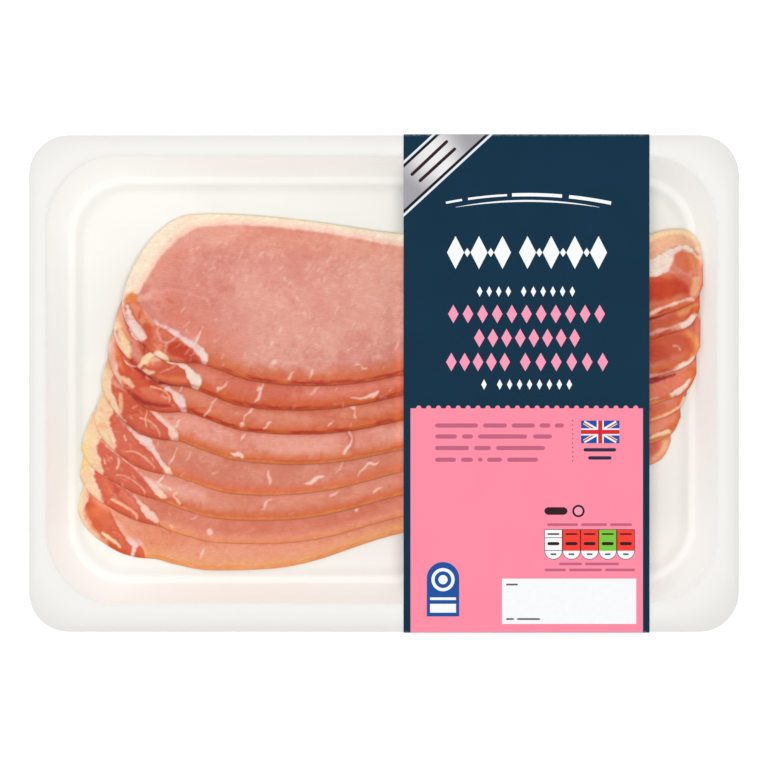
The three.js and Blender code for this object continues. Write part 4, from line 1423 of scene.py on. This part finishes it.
@dataclass(frozen=True)
class BaconFinish:
    """Raw cured pork: the painted tones with faint grain and a wet surface."""

    roughness: float = 0.5
    roughness_swing: float = 0.2
    specular: float = 0.12
    coat: float = 0.02
    coat_roughness: float = 0.2
    grain_tint: Triple = (0.94, 0.85, 0.82)
    grain_share: float = 0.6
    fibre_tint: Triple = (1.03, 1.16, 1.22)

    def surface(self) -> Surface:
        """Make the material."""
        made = Surface("bacon", {"Specular IOR Level": self.specular, "Coat Weight": self.coat,
                                 "Coat Roughness": self.coat_roughness})
        flesh = made.node("ShaderNodeAttribute", {"attribute_name": "flesh"}, {}).outputs["Color"]
        fine = made.noise(made.stretched(35, (0.5, 1.6, 1)), 1.1, 3.0, 0.6)
        fibre = made.noise(made.stretched(-52, (0.35, 1.5, 1)), 1.4, 2.0)
        lumps = made.noise(made.place(), 0.35, 2.0)
        deeper = made.vector("MULTIPLY", flesh, self.grain_tint)
        paler = made.vector("MULTIPLY", flesh, self.fibre_tint)
        colour = made.mix(fine.ramp(0.42, 0.75) * self.grain_share, flesh, deeper)
        colour = made.mix(fibre.ramp(0.54, 0.72), colour, paler)
        roughness = fine * self.roughness_swing + (self.roughness - self.roughness_swing / 2)
        made.shade(colour, roughness=roughness, relief=fine * 0.16 + lumps * 0.5, depth=0.7)
        return made


@dataclass(frozen=True)
class BaconStack:
    """Eight rashers laid like shingles, each draped over the ones below it."""

    tray: Tray
    thickness: float = 2.45
    edge_round: float = 1.2
    edge_drop: float = 0.7
    thin_edge: float = 0.06
    stations: int = 398
    rows: int = 104
    station_stops: tuple[Point, ...] = (
        (0, 0), (0.03, 0.6), (0.33, 34), (0.83, 118), (0.865, 183), (0.98, 203.6), (1, 204.8),
    )
    open_row_stops: tuple[Point, ...] = ((0, 0), (0.05, 0.02), (0.95, 0.98), (1, 1))
    row_stops: tuple[Point, ...] = ((0, 0), (0.05, 0.02), (0.62, 0.34), (0.95, 0.98), (1, 1))
    relief: float = 0.13
    lump_sizes: tuple[Point, ...] = ((9, 1.0), (3.2, 0.35))
    lump_reach: float = 3.0
    # Painted light against the sleeve's shadow: where and how much the tones are made paler beside the
    # sleeve's edges.
    lit_left: Point = (2.6, 6.8)
    lit_left_end: Point = (60, 40)
    lit_left_share: float = 0.38
    lit_right: Point = (107, 99)
    lit_right_start: Point = (60, 70)
    lit_right_share: float = 0.04
    lit_right_share_top: float = 0.2
    fat_ends: Point = (88, 92)
    last_upper_rasher: int = 3
    seed: int = 7

    def build(self) -> None:
        """Build and dress the rashers from the lowest up."""
        heap = Heap(self.tray)
        chance = np.random.default_rng(self.seed)
        rashers = {lie.number: Rasher(lie) for lie in LIES}
        finish = BaconFinish().surface()
        for number in sorted(rashers, reverse=True):
            rasher = rashers[number]
            sheet = heap.rest(rasher)
            piece, along, places = self.lay(rasher)
            painter = self.paint(rasher, rashers.get(number - 1), along, places, chance)
            self.drape(piece, rasher, heap, sheet, painter)
            heap.take(rasher, sheet, self.thickness)
            piece.data.materials.append(finish.material)
            finish_with(piece, "SOLIDIFY", thickness=self.thickness * MM, offset=0.0, use_rim=True,
                        vertex_group="thickness", thickness_vertex_group=self.thin_edge)
            piece.vertex_groups.clear()
            smooth(piece, 180)
            hand_over(piece, "bacon", f"rasher_{number}")
            log.info("rasher %d: %d faces", number, len(piece.data.polygons))

    def lay(self, rasher: Rasher) -> tuple[bpy.types.Object, np.ndarray, np.ndarray]:
        """Make a grid for a rasher.

        Args:
            rasher: The rasher.

        Returns:
            The grid, and for each of its points the distance along the slice and the place on the pack.
        """
        bpy.ops.object.select_all(action="DESELECT")
        bpy.ops.mesh.primitive_grid_add(x_subdivisions=self.stations, y_subdivisions=self.rows, size=2)
        piece = bpy.context.active_object
        piece.name = f"bacon_rasher_{rasher.lie.number}"
        grid = np.array([v.co[:2] for v in piece.data.vertices])
        station, row = (grid[:, 0] + 1) / 2, (grid[:, 1] + 1) / 2
        along = np.interp(station, *np.array(self.station_stops).T)
        stops = self.open_row_stops if rasher.lie.number == 1 else self.row_stops
        share = np.interp(row, *np.array(stops).T)
        low, high = rasher.low(along), rasher.high(along)
        return piece, along, rasher.on_pack(along, low + (high - low) * share)

    def drape(self, piece: bpy.types.Object, rasher: Rasher, heap: Heap, sheet: np.ndarray,
              painter: Painter) -> None:
        """Lay the grid on the heap, and store its thickness and its painted tones.

        Args:
            piece: The grid.
            rasher: The rasher that it becomes.
            heap: What lies below.
            sheet: The height of the rasher's underside in every cell.
            painter: The rasher's painted points.
        """
        places = painter.places
        inward = distance_to(places, rasher.outline())
        height = heap.at(sheet, places) + self.thickness / 2
        uneven = sum(drift(places, size, painter.chance) * much for size, much in self.lump_sizes)
        height += (uneven * self.relief + painter.raised) * np.clip(inward / self.lump_reach, 0, 1)
        rounded = np.sqrt(1 - (1 - np.clip(inward / self.edge_round, 0, 1)) ** 2)
        height -= self.thickness / 2 * (1 - rounded) * self.edge_drop
        piece.data.vertices.foreach_set("co", (np.column_stack([places, height]) * MM).ravel())
        group = piece.vertex_groups.new(name="thickness")
        for index, weight in enumerate(rounded):
            group.add([index], float(weight), "REPLACE")
        flesh = piece.data.attributes.new("flesh", "FLOAT_COLOR", "POINT")
        flesh.data.foreach_set("color", np.column_stack([painter.colour, np.ones(len(places))]).ravel())

    def paint(self, rasher: Rasher, covering: Rasher | None, along: np.ndarray, places: np.ndarray,
              chance: np.random.Generator) -> Painter:
        """Paint a rasher.

        Args:
            rasher: Its outline.
            covering: The rasher that lies on it, if any.
            along: How far along the slice each point lies.
            places: Where on the pack each point lies.
            chance: Where the random numbers come from.

        Returns:
            The painter with its colours and relief.
        """
        number = rasher.lie.number
        look = LOOKS[number]
        painter = Painter(places, chance)
        edge = distance_to(places, rasher.lean_outline())
        patches = drift(places, 15, chance) + drift(places, 6, chance) * 0.6 + painter.ragged
        painter.lay(look.deep, 1.0)
        painter.lay(look.light, step(patches, -0.8, 0.6))
        for wash in WASHES.get(number, ()):
            painter.draw(wash)
        painter.lay(look.edge, step(edge + painter.ragged, look.edge_reach, 0.8) * 0.95)
        line = placed_curve(look.seam)[:, :2]
        painter.lay(look.cap, step(self.beyond(places, line) + painter.ragged * 0.5, 0.0, 1.0))
        self.paint_fat(painter, rasher, look)
        # Painted shade where the rasher above lies on this one.
        if covering is not None:
            self.paint_contact_shadow(painter, covering, look.shadow)
        painter.draw(Stroke(look.seam_tone, look.seam, 1.3, 1.0, 0.2))
        for table in (STROKES, TAIL_STROKES):
            self.draw_all(painter, number, table)
        # A broken dark line near the lean edge: partly the cured edge's own colour, partly painted shade
        # where the edge rounds down.
        broken = step(drift(places, 5, chance), -0.9, 0.3)
        on_eye = step(along, 22, 30) * step(places[:, 0], 105, 97)
        rough = np.abs(edge - 0.85 + painter.ragged * 0.5)
        painter.lay(Flesh.CURED_EDGE_AND_SHADE, step(rough, 0.55, 0.1) * on_eye * look.line * broken)
        for vein in VEINS[number]:
            painter.draw_vein(vein)
        for flecks in TOP_FLECKS if number == 1 else LOWER_FLECKS:
            painter.scatter(flecks)
        # Painted light: a paler amber along the lean edge of the lower rashers, against the shade where the
        # edge rounds down.
        if number > self.last_upper_rasher:
            painter.lay(Flesh.AMBER, step(edge + painter.ragged * 0.4, 1.3, 0.4) * on_eye * 0.6)
        for flecks in CAP_FLECKS:
            painter.scatter(flecks)
        painter.mottle()
        # Painted light beside the sleeve.
        self.paint_sleeve_light(painter, self.lit_right_share_top if number == 1 else self.lit_right_share)
        return painter

    def paint_contact_shadow(self, painter: Painter, covering: Rasher, shadow: float) -> None:
        """Paint shade close to the edge of the rasher that lies on this one: deeper tones and a dark painted
        contact shadow.
        """
        places = painter.places
        gap = distance_to(places, covering.outline()) * np.where(covering.holds(places), -1, 1)
        on_off = step(drift(places, 7, painter.chance), -0.6, 0.4)
        painter.lay(Flesh.CAP, step(gap + painter.ragged * 0.5, 3.0, 0.0) * 0.55 * shadow)
        painter.lay(Flesh.SHADOW, step(gap + painter.ragged * 0.3, 0.9, 0.1) * 0.6 * shadow * on_off)

    def paint_sleeve_light(self, painter: Painter, at_right: float) -> None:
        """Paint light next to the sleeve, against its shadow: the tones are made paler on its left and by a
        given share on its right.
        """
        x = painter.places[:, 0]
        left = step(x, *self.lit_left) * step(x, *self.lit_left_end) * self.lit_left_share
        right = step(x, *self.lit_right) * step(x, *self.lit_right_start) * at_right
        painter.colour *= 1 + (left + right)[:, None]

    def paint_fat(self, painter: Painter, rasher: Rasher, look: RasherLook) -> None:
        """Paint the fat along the rind, pinkish where it meets the lean and yellowish at its outer edge."""
        places = painter.places
        fat = depth_in(places, rasher.fat_rim(look.tip_fat, look.tip_reach)) + painter.ragged
        rosy = step(drift(places, 5, painter.chance), 0.1, 0.7)
        on_eye = 1 - step(places[:, 0], *self.fat_ends)
        if rasher.lie.number == 1:
            fat -= painter.ragged * 0.6
            rosy *= 0.3
        painter.lay(Flesh.FAT_INNER, step(fat, -0.6, 0.6) * on_eye)
        painter.lay(Flesh.FAT, step(fat, 0.8, 2.8) * (1 - rosy * 0.7) * on_eye)
        if rasher.lie.number > self.last_upper_rasher:
            painter.lay(Flesh.BUTTER, step(fat, -0.3, 1.2) * on_eye * 0.85)
        if rasher.lie.number > 1:
            spots = step(drift(places, 4, painter.chance), 0.2, 0.6)
            painter.lay(Flesh.PALE_PEACH, spots * step(fat, 0, 1) * on_eye * 0.7)
        rim = distance_to(places, rasher.rind_outline())
        painter.lay(Flesh.FAT_EDGE, step(rim, 1.0, 0.2) * step(fat, 0.0, 0.5) * 0.8)

    def draw_all(self, painter: Painter, number: int, table: StrokeTable) -> None:
        """Draw the strokes of a table that lie on one rasher."""
        for numbers, drawn in table.items():
            if number in numbers:
                for stroke in drawn:
                    painter.draw(stroke)

    def beyond(self, places: np.ndarray, line: np.ndarray) -> np.ndarray:
        """How far places lie on the cap's side of the seam, negative on the eye's side."""
        nearest = np.argmin([np.hypot(*(places - p).T) for p in line], axis=0)
        ahead = line[np.minimum(nearest + 1, len(line) - 1)] - line[np.maximum(nearest - 1, 0)]
        away = places - line[nearest]
        side = ahead[:, 0] * away[:, 1] - ahead[:, 1] * away[:, 0]
        return distance_to(places, line) * -np.sign(side)


# Sleeve and print

class Ink(Enum):
    """The inks of the printed card as the photo shows them."""

    WHITE = (250, 251, 252)
    PINK = (254, 158, 186)
    MAUVE = (122, 62, 92)
    ROSE = (196, 98, 128)
    NAVY = (38, 40, 66)
    BLACK = (44, 20, 26)
    GREY = (96, 96, 98)
    RED = (250, 62, 52)
    CRIMSON = (218, 36, 52)
    GREEN = (125, 202, 62)
    BLUE = (20, 80, 160)


@dataclass(frozen=True)
class CardPrint:
    """Coated card with its printed fields: navy, a pink panel with a scalloped top and a silver ribbon."""

    navy: Rgb = (24, 52, 71)
    navy_light: Rgb = (28, 58, 80)
    pink: Rgb = (254, 143, 167)
    pink_deep: Rgb = (252, 139, 163)
    worn: Rgb = (196, 204, 212)
    worn_share: float = 0.35
    worn_y: Point = (86.9, 87.5)
    worn_z: Point = (26.2, 26.8)
    panel_left: float = 9.36
    panel_right: float = 91.2
    panel_top: float = -8.73
    scallop_first: float = 12.28
    scallop_step: float = 3.472
    scallop_radius: float = 0.88
    scallop_count: int = 23
    panel_ends_below: float = 1.6
    ribbon_start: Point = (6.96, 60.7)
    ribbon_slope: float = 26.8 / 29.04
    ribbon_width: float = 15.7
    black_line: Rgb = (20, 8, 10)
    black_line_half: float = 0.45
    pale_line: Rgb = (230, 236, 240)
    pale_line_half: float = 0.55
    pale_line_off: float = 1.45
    silver_dark: Rgb = (163, 161, 166)
    silver_light: Rgb = (236, 234, 235)
    sheen_middle: Point = (19.4, 77.7)
    sheen_reach: float = 13.0
    board_dark: Rgb = (222, 219, 212)
    board_light: Rgb = (238, 236, 231)
    gloss: float = 0.012
    blur: float = 0.16

    def surface(self) -> Surface:
        """Make the printed face's material."""
        made = Surface("printed_card", {"Specular IOR Level": 0.04})
        x, y, z = made.axes(made.place())
        mottle = made.noise(made.place(), 0.05, 3.0)
        fibre = made.noise(made.place(), 2.2, 3.0)
        colour = made.mix(mottle, tone(self.navy, self.gloss), tone(self.navy_light, self.gloss))
        pink = made.mix(mottle, tone(self.pink), tone(self.pink_deep))
        colour = made.mix(self.pink_panel(x, y, z), colour, pink)
        colour = self.ribbon(made, colour, x, y, z)
        worn = abs(y).ramp(*self.worn_y) * z.ramp(*self.worn_z) * fibre.ramp(0.35, 0.7)
        colour = made.mix(worn * self.worn_share, colour, tone(self.worn))
        made.shade(colour, roughness=fibre * 0.14 + 0.42, relief=fibre * 0.02 + mottle * 0.1, depth=0.4)
        return made

    def pink_panel(self, x: Value, y: Value, z: Value) -> Value:
        """The pink panel's mask, with a row of half-round scallops on its top edge."""
        middle, half = (self.panel_left + self.panel_right) / 2, (self.panel_right - self.panel_left) / 2
        body = x.band(middle, half, self.blur) * y.below(self.panel_top, self.blur)
        last = self.scallop_first + (self.scallop_count - 0.5) * self.scallop_step
        start = self.scallop_first - self.scallop_step / 2
        row = x.ramp(start - 0.05, start) * x.below(last, 0.1)
        across = (((x - start) * (1 / self.scallop_step)).fraction() - 0.5) * self.scallop_step
        up = y - (self.panel_top + 0.1)
        bumps = (across * across + up * up).root().below(self.scallop_radius, self.blur) * row
        return body.most(bumps) * z.above(self.panel_ends_below, 0.1)

    def ribbon(self, made: Surface, colour: Input, x: Value, y: Value, z: Value) -> Input:
        """Lay the silver ribbon with its black and white lines over the top left corner."""
        on_top = z.above(20.0, 1.0)
        rise = y - self.ribbon_start[1] - (x - self.ribbon_start[0]) * self.ribbon_slope
        half = self.ribbon_width / 2
        white = self.two_lines(rise, self.pale_line_off, self.pale_line_half)
        colour = made.mix(white * on_top, colour, tone(self.pale_line))
        along = (x - self.sheen_middle[0]) * 0.735 + (y - self.sheen_middle[1]) * 0.678
        wander = (made.noise(made.place(), 0.06, 2.0) - 0.5) * 8
        sheen = abs(along + wander).ramp(self.sheen_reach, 1.0)
        silver = made.mix(sheen, tone(self.silver_dark), tone(self.silver_light))
        colour = made.mix(rise.band(half, half, self.blur) * on_top, colour, silver)
        black = self.two_lines(rise, 0.0, self.black_line_half)
        return made.mix(black * on_top, colour, tone(self.black_line))

    def two_lines(self, rise: Value, off: float, half: float) -> Value:
        """The mask of a line along each side of the ribbon, at a distance from it."""
        low, high = (rise.band(middle, half, self.blur) for middle in (-off, self.ribbon_width + off))
        return low.most(high)

    def board(self) -> Surface:
        """Make the plain greyish board that shows inside and at the cut ends."""
        made = Surface("plain_board", {"Specular IOR Level": 0.2})
        fibre = made.noise(made.place(), 1.6, 4.0)
        colour = made.mix(fibre, tone(self.board_dark), tone(self.board_light))
        made.shade(colour, roughness=fibre * 0.1 + 0.75, relief=fibre * 0.03, depth=0.5)
        return made


@dataclass(frozen=True)
class InkFinish:
    """One ink on the card."""

    ink: Ink
    thinnest: float = 0.975

    def surface(self) -> Surface:
        """Make the ink's material."""
        made = Surface(f"ink_{self.ink.name.lower()}", {"Specular IOR Level": 0.04})
        mottle = made.noise(made.place(), 0.8, 2.0)
        shade = tuple(c * self.thinnest for c in self.ink.value)
        made.shade(made.mix(mottle, tone(self.ink.value), tone(shade)), roughness=mottle * 0.1 + 0.42)
        return made


@dataclass
class Artwork:
    """Flat shapes printed on the card, sorted by ink and layer, drawn in the photo's pixels."""

    card_top: float
    bite: float = 0.006
    layer: float = 0.0085
    shapes: dict[tuple[Ink, int], list[np.ndarray]] = field(default_factory=dict)

    def add(self, ink: Ink, outline: Iterable[Point], layer: int = 1) -> None:
        """Add a convex outline in pixels."""
        placed = np.array([PHOTO.place(x, y) for x, y in outline])
        self.shapes.setdefault((ink, layer), []).append(placed)

    def box(self, ink: Ink, left: float, top: float, right: float, bottom: float, layer: int = 1) -> None:
        """Add a plain rectangle."""
        self.add(ink, [(left, bottom), (right, bottom), (right, top), (left, top)], layer)

    def disc(self, ink: Ink, x: float, y: float, radius: float, layer: int = 1, sides: int = 40) -> None:
        """Add a disc."""
        turns = np.linspace(0, math.tau, sides, endpoint=False)
        self.add(ink, [(x + radius * math.cos(t), y - radius * math.sin(t)) for t in turns], layer)

    def pill(self, ink: Ink, x: float, y: float, width: float, height: float, turn: float = 0.0,
             layer: int = 1) -> None:
        """Add an upright block with round ends.

        Args:
            ink: Its ink.
            x: The pixel of its middle.
            y: The pixel of its middle.
            width: Its width in pixels.
            height: Its height in pixels.
            turn: How far it leans to the right, in degrees.
            layer: The layer it lies on.
        """
        radius, straight = width / 2, max(height - width, 0) / 2
        lean = math.radians(turn)
        points = []
        for end, first in ((1, 0.0), (-1, math.pi)):
            for step in range(5):
                angle = first + math.pi * step / 4
                px, py = radius * math.cos(angle), radius * math.sin(angle) + end * straight
                points.append((x + px * math.cos(lean) + py * math.sin(lean),
                               y + px * math.sin(lean) - py * math.cos(lean)))
        self.add(ink, points, layer)

    def lozenges(self, ink: Ink, left: float, right: float, y: float, size: Point, count: int) -> None:
        """Add a row of upright lozenges between two pixels.

        Args:
            ink: Their ink.
            left: The pixel where the row starts.
            right: The pixel where it ends.
            y: The pixel of its middle line.
            size: Each lozenge's width and height in pixels.
            count: How many there are.
        """
        half_x, half_y = size[0] / 2, size[1] / 2
        for x in np.linspace(left + half_x, right - half_x, count) if count > 1 else [(left + right) / 2]:
            self.add(ink, [(x, y + half_y), (x + half_x, y), (x, y - half_y), (x - half_x, y)])

    def bar(self, ink: Ink, start: Point, end: Point, thick: float, layer: int = 1) -> None:
        """Add a straight bar with round ends from one pixel to another."""
        length = math.dist(start, end)
        turn = math.degrees(math.atan2(end[1] - start[1], end[0] - start[0]))
        middle = ((start[0] + end[0]) / 2, (start[1] + end[1]) / 2)
        self.pill(ink, *middle, thick, length, turn + 90, layer)

    def bars(self, ink: Ink, y: float, thick: float, spans: Sequence[Point], layer: int = 1) -> None:
        """Add a row of bars, each from one pixel to another."""
        for left, right in spans:
            self.bar(ink, (left, y), (right, y), thick, layer)

    def arc(self, ink: Ink, middle: Point, radius: float, reach: Point, thick: tuple[float, float]) -> None:
        """Add a piece of a ring.

        Args:
            ink: Its ink.
            middle: The pixel of the ring's middle.
            radius: The ring's radius in pixels.
            reach: The pixels in X where the piece starts and ends.
            thick: Its thickness in pixels at its middle and at its ends.
        """
        first, last = (math.asin((x - middle[0]) / radius) for x in reach)
        turns = np.linspace(first, last, 25)
        for start, end in zip(turns[:-1], turns[1:]):
            quad = []
            for angle, side in ((start, -1), (end, -1), (end, 1), (start, 1)):
                share = abs(2 * (angle - first) / (last - first) - 1) ** 2
                far = radius + side * (thick[0] * (1 - share) + thick[1] * share) / 2
                quad.append((middle[0] + far * math.sin(angle), middle[1] - far * math.cos(angle)))
            self.add(ink, quad)

    def build(self) -> list[bpy.types.Object]:
        """Make one thin closed slab mesh for each ink and layer."""
        made = []
        for (ink, layer), outlines in self.shapes.items():
            points, faces = [], []
            for outline in outlines:
                faces.append(list(range(len(points), len(points) + len(outline))))
                points.extend((x * MM, y * MM, (self.card_top - self.bite) * MM) for x, y in outline)
            mesh = bpy.data.meshes.new(f"print_{ink.name.lower()}_{layer}")
            mesh.from_pydata(points, [], faces)
            piece = bpy.data.objects.new(mesh.name, mesh)
            bpy.context.scene.collection.objects.link(piece)
            face_up(piece)
            finish_with(piece, "SOLIDIFY", thickness=(self.bite + layer * self.layer) * MM, offset=1.0)
            piece.data.materials.append(InkFinish(ink).surface().material)
            made.append(hand_over(piece, "printed_card"))
        return made


def face_up(piece: bpy.types.Object) -> None:
    """Turn over the flat faces of a piece that look down."""
    mesh = bmesh.new()
    mesh.from_mesh(piece.data)
    mesh.normal_update()
    bmesh.ops.reverse_faces(mesh, faces=[f for f in mesh.faces if f.normal.z < 0])
    mesh.to_mesh(piece.data)
    mesh.free()


@dataclass(frozen=True)
class Sleeve:
    """The printed card band folded round the right half of the pack."""

    tray: Tray
    from_x: float = 6.9
    to_x: float = 93.5
    card: float = 0.27
    rim_half: float = 87.51
    top_outside: float = 26.965
    rim_drop: float = 1.6
    base_half: float = 74.0
    base_lowest: float = 0.35
    fold: float = 0.62
    slices: int = 6
    fold_steps: int = 5

    def section(self) -> np.ndarray:
        """Half of the outer outline, from the top's fold round to the base's fold, as Y and Z."""
        rim = self.rim_half + self.card
        points = []
        for step in range(self.fold_steps + 1):
            angle = math.pi / 2 * (1 - step / self.fold_steps)
            points.append((rim - self.fold + self.fold * math.cos(angle),
                           self.top_outside - self.fold + self.fold * math.sin(angle)))
        points.append((rim, self.tray.flange_top - self.rim_drop))
        points.append((self.base_half + 0.8, self.base_lowest + 0.8))
        points.append((self.base_half + 0.45, self.base_lowest + 0.25))
        points.append((self.base_half - 0.3, self.base_lowest))
        return np.array(points)

    def build_band(self) -> bpy.types.Object:
        """Model the band: extrude its section along the pack, then give it the card's thickness inwards."""
        half = self.section()
        loop = np.vstack([half, half[::-1] * (-1, 1)])
        rings = [np.column_stack([np.full(len(loop), x), loop]) for x in
                 np.linspace(self.from_x, self.to_x, self.slices + 1)]
        band = raise_rings("card_sleeve", rings, filled=False)
        finish_with(band, "SOLIDIFY", thickness=self.card * MM, offset=-1.0, use_even_offset=True,
                    material_offset=1, material_offset_rim=1)
        smooth(band, 35)
        return band

    def draw(self) -> Artwork:
        """Draw what is printed on the top: lozenges, bars and simple shapes."""
        art = Artwork(self.top_outside)
        self.draw_arch(art)
        self.draw_rows(art)
        self.draw_panel(art)
        self.draw_table(art)
        self.draw_seal(art)
        return art

    def draw_arch(self, art: Artwork) -> None:
        """Draw the arched bars, the arc under them and the large white lozenges."""
        middle, radius = (527.6, 608.7), 414.0
        for left, right, thick in ((446, 462, 2.2), (468, 507, 2.2), (512, 562, 3.4), (569, 611, 3.4)):
            art.arc(Ink.WHITE, middle, radius, (left, right), (thick, thick))
        art.arc(Ink.WHITE, middle, radius - 6.2, (455.7, 599.5), (1.9, 0.2))
        for left, right, count in ((447, 511, 3), (519, 607, 4)):
            art.lozenges(Ink.WHITE, left, right, 252.5, (17, 33), count)
            gap = (right - left - 17) / (count - 1)
            art.lozenges(Ink.WHITE, left + gap / 2 + 5.5, right - gap / 2 - 5.5, 252.5, (6, 9), count - 1)

    def draw_rows(self, art: Artwork) -> None:
        """Draw the rows of white and pink lozenges, and the two bars along the ribbon."""
        white = ((477, 511, 291.5, 4), (521, 575, 291.5, 6), (497, 572, 384.5, 8), (480, 488, 384.5, 1))
        pink = ((448, 605, 314, 11), (474, 580, 338, 8), (446, 510, 362, 5), (520, 608, 362, 6))
        for ink, rows, size in ((Ink.WHITE, white, (5.4, 10.5)), (Ink.PINK, pink, (10.6, 18.5))):
            for left, right, y, count in rows:
                art.lozenges(ink, left, right, y, size, count)
        art.bar(Ink.BLACK, (410.8, 175.6), (447.8, 140.6), 3.2)
        art.bar(Ink.BLACK, (418.9, 181.8), (455.8, 148), 3.2)

    def draw_panel(self, art: Artwork) -> None:
        """Draw the lines of bars, the dotted line and the small flag on the pink panel."""
        lines = ((425.5, ((435, 478), (483, 507), (511.5, 535), (539.5, 550.5), (554.5, 564))),
                 (436.5, ((435, 457), (462, 473), (478, 527), (533, 552))),
                 (448.0, ((435, 469), (474, 491), (496, 545))),
                 (459.7, ((435, 456), (461, 473), (478, 482.5), (487, 502), (507, 538))))
        for y, spans in lines:
            art.bars(Ink.ROSE, y, 4.2, spans)
        for number in range(10):
            art.disc(Ink.MAUVE, 572.6, 420.6 + 4.47 * number, 0.62, sides=10)
        self.draw_flag(art, 581, 420.6, 619.4, 443.2)
        art.bars(Ink.NAVY, 449.8, 3.4, ((583.4, 616.2),))
        art.bars(Ink.NAVY, 457.9, 3.4, ((588, 611.6),))

    def draw_flag(self, art: Artwork, left: float, top: float, right: float, bottom: float) -> None:
        """Draw the flag: a blue field, a white and a red diagonal cross, and an upright cross over them."""
        x, y = (left + right) / 2, (top + bottom) / 2
        art.box(Ink.BLUE, left, top, right, bottom)
        run = math.hypot(right - left, bottom - top)
        for side_x in (-1, 1):
            for side_y in (-1, 1):
                corner = (x + side_x * (right - left) / 2, y + side_y * (bottom - top) / 2)
                across = (side_y * (bottom - top) / run, -side_x * (right - left) / run)
                self.draw_ray(art, Ink.WHITE, (x, y), corner, across, (-1.9, 1.9), 2)
                self.draw_ray(art, Ink.CRIMSON, (x, y), corner, across, (0.0, 1.3 * side_x * side_y), 3)
        for ink, half, layer in ((Ink.WHITE, 3.5, 4), (Ink.CRIMSON, 2.1, 5)):
            art.box(ink, left, y - half, right, y + half, layer)
            art.box(ink, x - half, top, x + half, y - half, layer)
            art.box(ink, x - half, y + half, x + half, bottom, layer)

    def draw_ray(self, art: Artwork, ink: Ink, middle: Point, corner: Point, across: Point,
                 reach: Point, layer: int) -> None:
        """Draw one arm of a diagonal cross, ending square a little short of its corner."""
        ends = []
        for share, off in ((0.2, reach[0]), (0.85, reach[0]), (0.85, reach[1]), (0.2, reach[1])):
            ends.append((middle[0] + (corner[0] - middle[0]) * share + across[0] * off,
                         middle[1] + (corner[1] - middle[1]) * share + across[1] * off))
        art.add(ink, ends, layer)

    def draw_table(self, art: Artwork) -> None:
        """Draw the black bar and ring, the five coloured tabs and the white box."""
        art.bars(Ink.BLACK, 511, 7.6, ((544.2, 567.6),))
        art.disc(Ink.BLACK, 578.4, 511, 6.2, 1)
        art.disc(Ink.PINK, 578.4, 511, 4.2, 2)
        art.bars(Ink.ROSE, 524.6, 2.6, ((547, 578), (581, 607), (610, 632)))
        tops = (Ink.WHITE, Ink.RED, Ink.RED, Ink.GREEN, Ink.RED)
        left, width, top, split, bottom = 544.3, 18.1, 529.3, 550.8, 559.6
        for number, ink in enumerate(tops):
            x = left + number * width
            self.draw_tab(art, Ink.BLACK, x + 0.02, top, x + width - 0.02, bottom, 1)
            self.draw_tab(art, Ink.WHITE, x + 0.55, top + 0.55, x + width - 0.55, bottom - 0.55, 2)
            if ink is not Ink.WHITE:
                art.box(ink, x + 0.55, top + 0.55, x + width - 0.55, split, 3)
            art.bars(Ink.BLACK, 534, 1.6, ((x + 3, x + width - 3),), 4)
            art.bars(Ink.BLACK, 543.6, 3.2, ((x + 3, x + width - 3),), 4)
            art.bars(Ink.GREY, 554.2, 1.8, ((x + 6, x + width - 6),), 4)
        art.box(Ink.BLACK, left + 0.6, 537.4, left + width - 0.6, 538, 5)
        art.box(Ink.BLACK, left + 0.6, 550.2, left + width - 0.6, 550.8, 5)
        art.bars(Ink.ROSE, 563.9, 2.6, ((559, 582), (585, 619)))
        art.bars(Ink.ROSE, 569.9, 2.6, ((544.5, 566), (569, 602), (605, 635)))
        art.box(Ink.WHITE, 502, 578.6, 636.2, 623.9, 1)
        art.bars(Ink.GREY, 584.5, 1.8, ((506, 518),), 2)
        art.bars(Ink.GREY, 619, 1.8, ((506, 514), (517, 540)), 2)

    def draw_tab(self, art: Artwork, ink: Ink, left: float, top: float, right: float, bottom: float,
                 layer: int) -> None:
        """Draw a tab with a square top and a round bottom."""
        middle, half = (left + right) / 2, (right - left) / 2
        arch = [(middle - half * math.cos(t), bottom - half + half * math.sin(t))
                for t in np.linspace(0, math.pi, 17)]
        art.add(ink, [(left, top), *arch, (right, top)], layer)

    def draw_seal(self, art: Artwork) -> None:
        """Draw a plain blue and white seal at the panel's lower left."""
        middle, top, bottom, half = 443.0, 562.0, 616.4, 16.2
        arch = [(middle + half * math.cos(t), top + half - half * math.sin(t))
                for t in np.linspace(0, math.pi, 21)]
        art.add(Ink.BLUE, [(middle - half, bottom), (middle + half, bottom), *arch])
        for ink, radius, layer in ((Ink.WHITE, 11.6, 2), (Ink.BLUE, 8.4, 3), (Ink.WHITE, 4.6, 4)):
            art.disc(ink, middle, top + half + 1.4, radius, layer)
        for high, low in ((597.4, 600), (603.8, 612.6)):
            art.box(Ink.WHITE, 430, high, 456, low, 2)

    def build(self) -> None:
        """Build and dress the sleeve and its print."""
        band = self.build_band()
        finish = CardPrint()
        band.data.materials.append(finish.surface().material)
        band.data.materials.append(finish.board().material)
        hand_over(band, "printed_card", "sleeve")
        log.info("sleeve: %d faces", len(band.data.polygons))
        for piece in self.draw().build():
            log.info("%s: %d faces", piece.name, len(piece.data.polygons))


def main() -> None:
    """Build the pack and the studio in order."""
    logging.basicConfig(level=logging.INFO, format="%(name)s: %(message)s")
    tray = Tray()
    Studio().build()
    tray.build()
    BaconStack(tray).build()
    Sleeve(tray).build()


if __name__ == "__main__":
    main()
